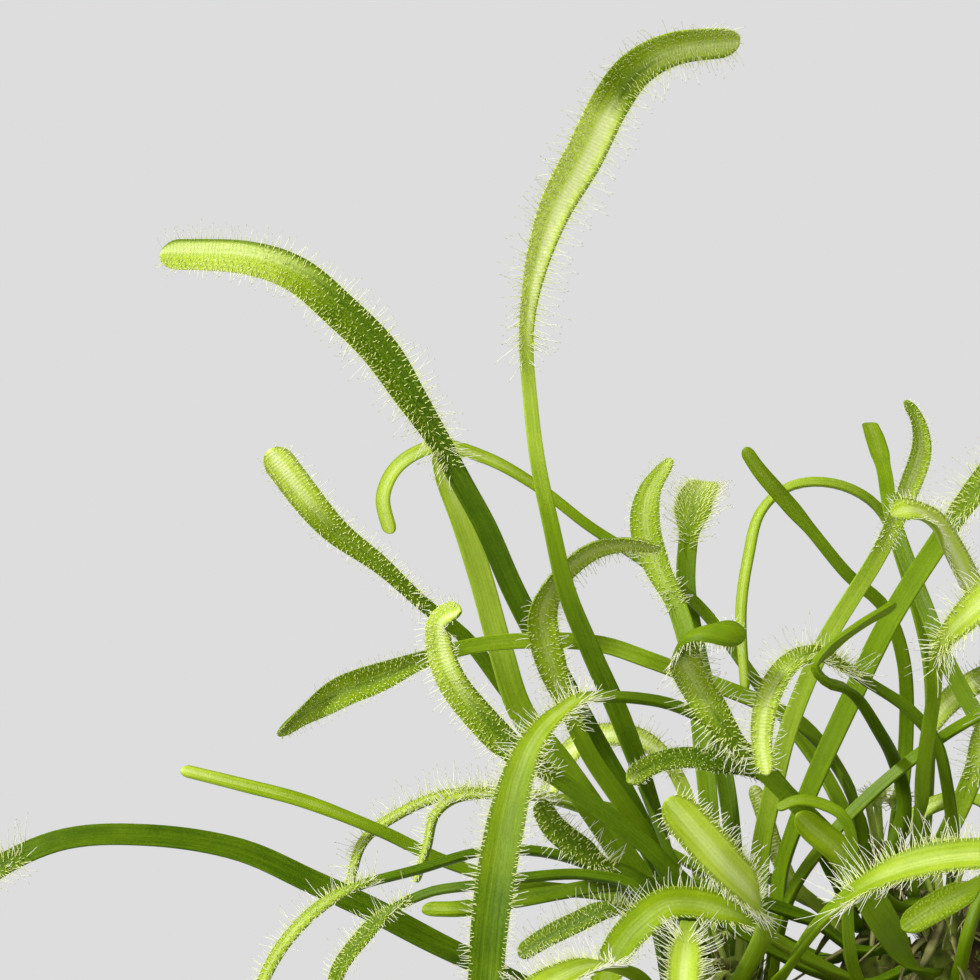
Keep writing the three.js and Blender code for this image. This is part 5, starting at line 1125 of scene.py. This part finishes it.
moundPlaces = soilPlaces(soilLook["mossShoots"])
mossy = moundPlaces[noise(moundPlaces[:, :2], 14.0, 3, 5.5) > -0.25]
grainPlaces = soilPlaces(soilLook["grains"])
grainSizes = random.uniform(*soilLook["grainSize"], len(grainPlaces)) / 2
soilMaterials = [
    newMaterial("dampPeat", peatColour, {"Roughness": 0.9, "IOR": 1.4}),
    newMaterial("quartzGrit", variedColour(soilLook["grain"], soilLook["dullGrain"], 700.0),
                {"Roughness": 0.6, "IOR": 1.54}),
    newMaterial("peatFibre", variedColour(soilLook["fibre"], soilLook["darkFibre"], 500.0),
                {"Roughness": 0.8, "IOR": 1.4}),
    newMaterial("liveMoss", variedColour(soilLook["moss"], soilLook["mossTip"], 260.0),
                {"Roughness": 0.6, "IOR": 1.4, "Subsurface Weight": 0.2, "Subsurface Scale": 0.0005}),
]
makePiece("sundewPeat", "peat", [
    soilSurface(),
    grains(grainPlaces + 0.2 * upward, grainSizes, 1),
    fibres(soilPlaces(soilLook["fibres"]), 2),
    mossShoots(mossy, 3),
], soilMaterials)
print("peat made:", len(mossy), "moss shoots")


# The short stems: withered leaf bases, pale papery stipules and young leaves that uncoil on the top.
crownLook = {
    "dome": 1.2, "around": 28, "bumps": 0.35,  # height of the round top, points round a stem, its roughness
    "withered": 15, "witheredLength": (6, 13), "witheredWidth": (1.3, 2.4), "witheredThickness": 0.35,
    "stipules": 60, "stipuleLength": (2, 4.5), "stipuleWidth": 0.3, "stipuleThickness": 0.08,
    "young": 4, "youngLength": (7, 11), "youngHairs": 44, "coilRadius": 1.15,
    "bark": "#475217", "barkPale": "#7c8a2f", "straw": "#87864a", "strawDark": "#484520",
    "papery": "#c3c68a",
}


def stemSurface(x, y, foot, top):
    # A rough stem: its radius with value noise on it, closed by a round top, √(1 − h²).
    dome, around = crownLook["dome"], crownLook["around"]
    height = np.concatenate([np.linspace(foot, top - dome, 26),
                             top - dome + dome * np.sin(np.linspace(0.2, 1.4, 7))])
    share = np.clip((height - (top - dome)) / dome, 0, 1)
    radius = (stemRadius - 0.3) * np.sqrt(1 - 0.97 * share ** 2)
    angle = circle(around)
    ways = np.stack([np.cos(angle), np.sin(angle)], -1)
    spots = np.stack(np.broadcast_arrays(3 * ways[:, 0] + x, 3 * ways[:, 1] + y, height[:, None] / 2), -1)
    rough = crownLook["bumps"] * noise(spots, 1.5, 3, 2.0)
    size = (radius[:, None] + rough * (radius[:, None] > 1))[..., None]
    points = np.concatenate([size * ways + np.array([x, y]),
                             np.broadcast_to(height[:, None, None], (len(height), around, 1))], -1)
    points = np.vstack([points.reshape(-1, 3), (x, y, foot), (x, y, top)])
    return closedShape(points, closedFaces(len(height), around))


def ribbons(roots, ways, bends, lengths, widths, thickness, material, rows=9, around=6):
    # Withered straps: the middle line is root + L (t way + t² bend), the width w (1 − 0.8 t²), twisted by
    # up to 1.2 t.
    t = np.linspace(0, 1, rows)[:, None]
    centre = roots[:, None] + lengths[:, None, None] * (ways[:, None] * t + bends[:, None] * t * t)
    along = unit(ways[:, None] + 2 * bends[:, None] * t)
    flat = unit(np.cross(along, np.array([0.12, 0.2, 0.97])))
    back = np.cross(along, flat)
    twist = 1.2 * t * random.uniform(-1, 1, (len(roots), 1, 1))
    flat, back = flat * np.cos(twist) + back * np.sin(twist), back * np.cos(twist) - flat * np.sin(twist)
    cosine, sine = np.cos(circle(around))[:, None], np.sin(circle(around))[:, None]
    width = (widths[:, None, None] / 2 * (1 - 0.8 * t * t))[:, :, None]
    points = (centre[:, :, None] + flat[:, :, None] * width * cosine
              + back[:, :, None] * (thickness / 2) * sine
              + back[:, :, None] * 0.25 * width * cosine ** 2)
    count, each = len(roots), rows * around + 2
    points = np.concatenate([points.reshape(count, -1, 3), centre[:, :1], centre[:, -1:]], axis=1)
    start = (each * np.arange(count))[:, None, None]
    quads, *lids = closedFaces(rows, around)
    faces = [(start + quads).reshape(-1, 4), (start + np.vstack(lids)).reshape(-1, 3)]
    return closedShape(points.reshape(-1, 3), faces, material)


def aroundStem(x, y, count, low, high, radius):
    # Places up a stem, one golden angle apart, and the way out from its axis at each.
    height = random.uniform(low, high, count)
    turn = goldenAngle * np.arange(count) + random.uniform(-0.4, 0.4, count)
    out = np.column_stack([np.cos(turn), np.sin(turn), np.zeros(count)])
    return np.array([x, y, 0]) + radius * out + np.column_stack([np.zeros((count, 2)), height]), out


def witheredLeaves(x, y, top):
    # Old leaf bases: straps that droop from the sides of the stem, with their tips kept above the soil.
    count = crownLook["withered"]
    seats, out = aroundStem(x, y, count, top - 12, top - 2.5, stemRadius - 0.5)
    droop = random.uniform(0.35, 1.1, count)
    way = unit(out + np.column_stack([np.zeros((count, 2)), 0.2 - droop]))
    bend = np.column_stack([random.uniform(-0.3, 0.3, (count, 2)), -random.uniform(0.1, 0.5, count)])
    long = random.uniform(*crownLook["witheredLength"], count)
    tip = seats + long[:, None] * (way + bend)
    sunk = np.maximum(0, soilHeight(tip[:, 0], tip[:, 1]) + 0.6 - tip[:, 2])
    bend[:, 2] += sunk / long
    width = random.uniform(*crownLook["witheredWidth"], count)
    return ribbons(seats, way, bend, long, width, crownLook["witheredThickness"], 1)


def stipules(x, y, top):
    # Thin papery scales that stand up between the leaf bases.
    count = crownLook["stipules"]
    seats, out = aroundStem(x, y, count, top - 8, top - 0.5, stemRadius - 0.3)
    way = unit(out * random.uniform(0.3, 0.9, (count, 1)) + upward)
    bend = random.uniform(-0.3, 0.3, (count, 3))
    long = random.uniform(*crownLook["stipuleLength"], count)
    width = np.full(count, crownLook["stipuleWidth"])
    return ribbons(seats, way, bend, long, width, crownLook["stipuleThickness"], 4, rows=5, around=4)


def youngLeaf(x, y, top, turn):
    # A crosier: a stalk that rises and a blade that is still coiled, place = foot + rise, then an inward
    # spiral whose radius shrinks by (1 − 0.75 t).
    out = np.array([math.cos(turn), math.sin(turn), 0])
    length = random.uniform(*crownLook["youngLength"])
    base = np.array([x, y, top - 1]) + 1.3 * out
    rise = base + 0.62 * length * upward + 0.22 * length * out
    t = np.linspace(0, 1, 20)[:, None]
    spin = 1.9 * math.pi * t
    coil = crownLook["coilRadius"] * (1 - 0.75 * t)
    spiral = rise - crownLook["coilRadius"] * out + coil * (out * np.cos(spin) + upward * np.sin(spin))
    line = np.vstack([mix(base, rise, np.linspace(0, 1, 8, endpoint=False)[:, None]), spiral])
    along = unit(np.gradient(line, axis=0))
    across = unit(np.cross(out, upward))[None] + 0 * along
    face = np.cross(across, along)
    run = np.linspace(0, 1, len(line))[:, None]
    width = 0.75 * (0.7 + 0.5 * smooth(0.3, 0.6, run)) * np.sqrt(1.02 - run ** 6)
    around = 8
    angle = circle(around)
    tube = (line[:, None] + across[:, None] * (width * np.cos(angle))[..., None]
            + face[:, None] * (0.4 * np.sqrt(1.02 - run ** 6) * np.sin(angle))[..., None])
    points = np.vstack([tube.reshape(-1, 3), line[:1], line[-1:]])
    each = (len(points), 1)
    blade = closedShape(points, closedFaces(len(line), around), 2, leafSpot=np.tile([0.0, 0, 1], each),
                        leafKind=np.tile([0.55, 0.3, 0.5], each), leafFinish=np.tile([0.5, 0, 0], each))
    hairs = crownLook["youngHairs"]
    pick = random.integers(9, len(line) - 1, hairs)
    sign = random.choice([-1.0, 1.0], hairs)[:, None]
    seat = line[pick] + across[pick] * width[pick] * 0.9 * sign
    way = unit(across[pick] * sign * 0.8 - face[pick] * 0.5 + random.uniform(-0.4, 0.4, (hairs, 3)))
    bend = 0.2 * random.uniform(-1, 1, (hairs, 3))
    return [blade, {**tentacleTubes(seat, way, bend, random.uniform(0.8, 1.6, hairs), 0.05), "material": 3}]


crownMaterials = [
    newMaterial("sundewStemBark", variedColour(crownLook["bark"], crownLook["barkPale"], 600.0),
                {"Roughness": 0.8, "IOR": 1.4}),
    newMaterial("witheredLeaf", variedColour(crownLook["straw"], crownLook["strawDark"], 380.0),
                {"Roughness": 0.7, "IOR": 1.4}),
    leafSkin, tentacleSkin,
    newMaterial("paperyStipule", variedColour(crownLook["papery"], crownLook["straw"], 900.0),
                {"Roughness": 0.6, "IOR": 1.4, "Subsurface Weight": 0.4, "Subsurface Scale": 0.0005}),
]
for crown, (x, y, foot, top) in crowns.items():
    shapes = [stemSurface(x, y, foot, top), witheredLeaves(x, y, top), stipules(x, y, top)]
    for k in range(crownLook["young"]):
        shapes += youngLeaf(x, y, top, goldenAngle * k + 0.7 * x)
    makePiece("sundewCrown" + crown.capitalize(), "crown_" + crown, shapes, crownMaterials)
print("crowns made:", len(crowns))


# A pale studio: the floor is matt near the pot and passes into the colour of the surround further out.
studio = {
    "surround": "#dddddd", "floor": "#b2b2b2", "floorSpeck": "#b6b6b6",
    "keyStrength": 3.25, "keySoftness": 7.0, "fillStrength": 4.6,
    "ambient": 0.6, "shineShare": 0.25,  # how much of the surround lights the plant; the share that shines
    "target": (-51, 0, 149.4), "distance": 700, "elevation": 3.0, "frameWidth": 122.5, "sensorWidth": 36,
    "floorRadius": 6, "lampDistance": 0.9,  # in metres
}


def floorColour(tree):
    # Matt painted board, in patches of 25 mm.
    inPiece = addNode(tree, "TexCoord").outputs["Object"]
    speck = addNode(tree, "TexNoise", None, {"Vector": inPiece, "Scale": 40.0})
    return {"Base Color": addNode(tree, "Mix", colourMix, {
        "Factor": speck.outputs["Fac"], "A": studio["floor"], "B": studio["floorSpeck"]})}


board = newMaterial("paintedBoard", floorColour, {"Roughness": 0.85})
tree = board.node_tree
output = next(node for node in tree.nodes if node.type == "OUTPUT_MATERIAL")
shader = next(node for node in tree.nodes if node.type == "BSDF_PRINCIPLED")
place = addNode(tree, "TexCoord")
radius = addNode(tree, "VectorMath", {"operation": "LENGTH"}, {0: place.outputs["Object"]})
fade = addNode(tree, "MapRange", eased,
               {"Value": radius.outputs["Value"], "From Min": 0.16, "From Max": 0.5})
glow = addNode(tree, "Emission", None, {"Color": studio["surround"], "Strength": 1.0})
blend = addNode(tree, "MixShader", None, {"Fac": fade, 1: shader, 2: glow})
tree.links.new(blend.outputs[0], output.inputs["Surface"])
floorMesh = bpy.data.meshes.new("studioFloor")
floorEdge = [(studio["floorRadius"] * math.cos(a), studio["floorRadius"] * math.sin(a), -0.0002)
             for a in np.linspace(0, 2 * math.pi, 96, endpoint=False)]
floorMesh.from_pydata(floorEdge, [], [list(range(len(floorEdge)))])
floorMesh.materials.append(board)
floor = bpy.data.objects.new("studioFloor", floorMesh)
bpy.context.scene.collection.objects.link(floor)

# the surround is seen at full strength and lights the plant at a lower one
world = bpy.data.worlds.new("studioSurround")
world.use_nodes = True
tree = world.node_tree
tree.nodes.clear()
seen = addNode(tree, "LightPath")
shine = addNode(tree, "MapRange", None,
                {"Value": seen.outputs["Is Glossy Ray"], "To Min": studio["ambient"],
                 "To Max": studio["ambient"] * studio["shineShare"]})
strength = addNode(tree, "Math", {"operation": "MAXIMUM"}, {0: seen.outputs["Is Camera Ray"], 1: shine})
backdrop = addNode(tree, "Background", None, {"Color": studio["surround"], "Strength": strength})
addNode(tree, "OutputWorld", None, {"Surface": backdrop})
bpy.context.scene.world = world
bpy.context.scene.view_settings.view_transform = "Standard"


def addLamp(name, kind, direction, strength, **settings):
    # A lamp that shines from the stated direction onto the middle of the plant.
    lamp = bpy.data.lights.new(name, kind)
    lamp.energy = strength
    for key, value in settings.items():
        setattr(lamp, key, value)
    holder = bpy.data.objects.new(name, lamp)
    middle = Vector(studio["target"]) * metre
    holder.location = middle + Vector(direction).normalized() * studio["lampDistance"]
    holder.rotation_euler = Vector(direction).to_track_quat("Z", "Y").to_euler()
    bpy.context.scene.collection.objects.link(holder)
    return holder


softness = math.radians(studio["keySoftness"])
addLamp("keyLight", "SUN", (-0.62, -0.36, 0.72), studio["keyStrength"], angle=softness)
fill = addLamp("fillLight", "AREA", (-0.2, -0.9, 0.35), studio["fillStrength"], size=0.8)
fill.visible_glossy = False

lens = bpy.data.cameras.new("camera")
lens.sensor_width = studio["sensorWidth"]
lens.lens = studio["sensorWidth"] * studio["distance"] / studio["frameWidth"]
lens.clip_start, lens.clip_end = 0.01, 50
camera = bpy.data.objects.new("camera", lens)
tilt = math.radians(studio["elevation"])
back = Vector((0, -math.cos(tilt), math.sin(tilt)))
camera.location = (Vector(studio["target"]) + back * studio["distance"]) * metre
camera.rotation_euler = (math.pi / 2 - tilt, 0, 0)
bpy.context.scene.collection.objects.link(camera)
bpy.context.scene.camera = camera
print("studio made")
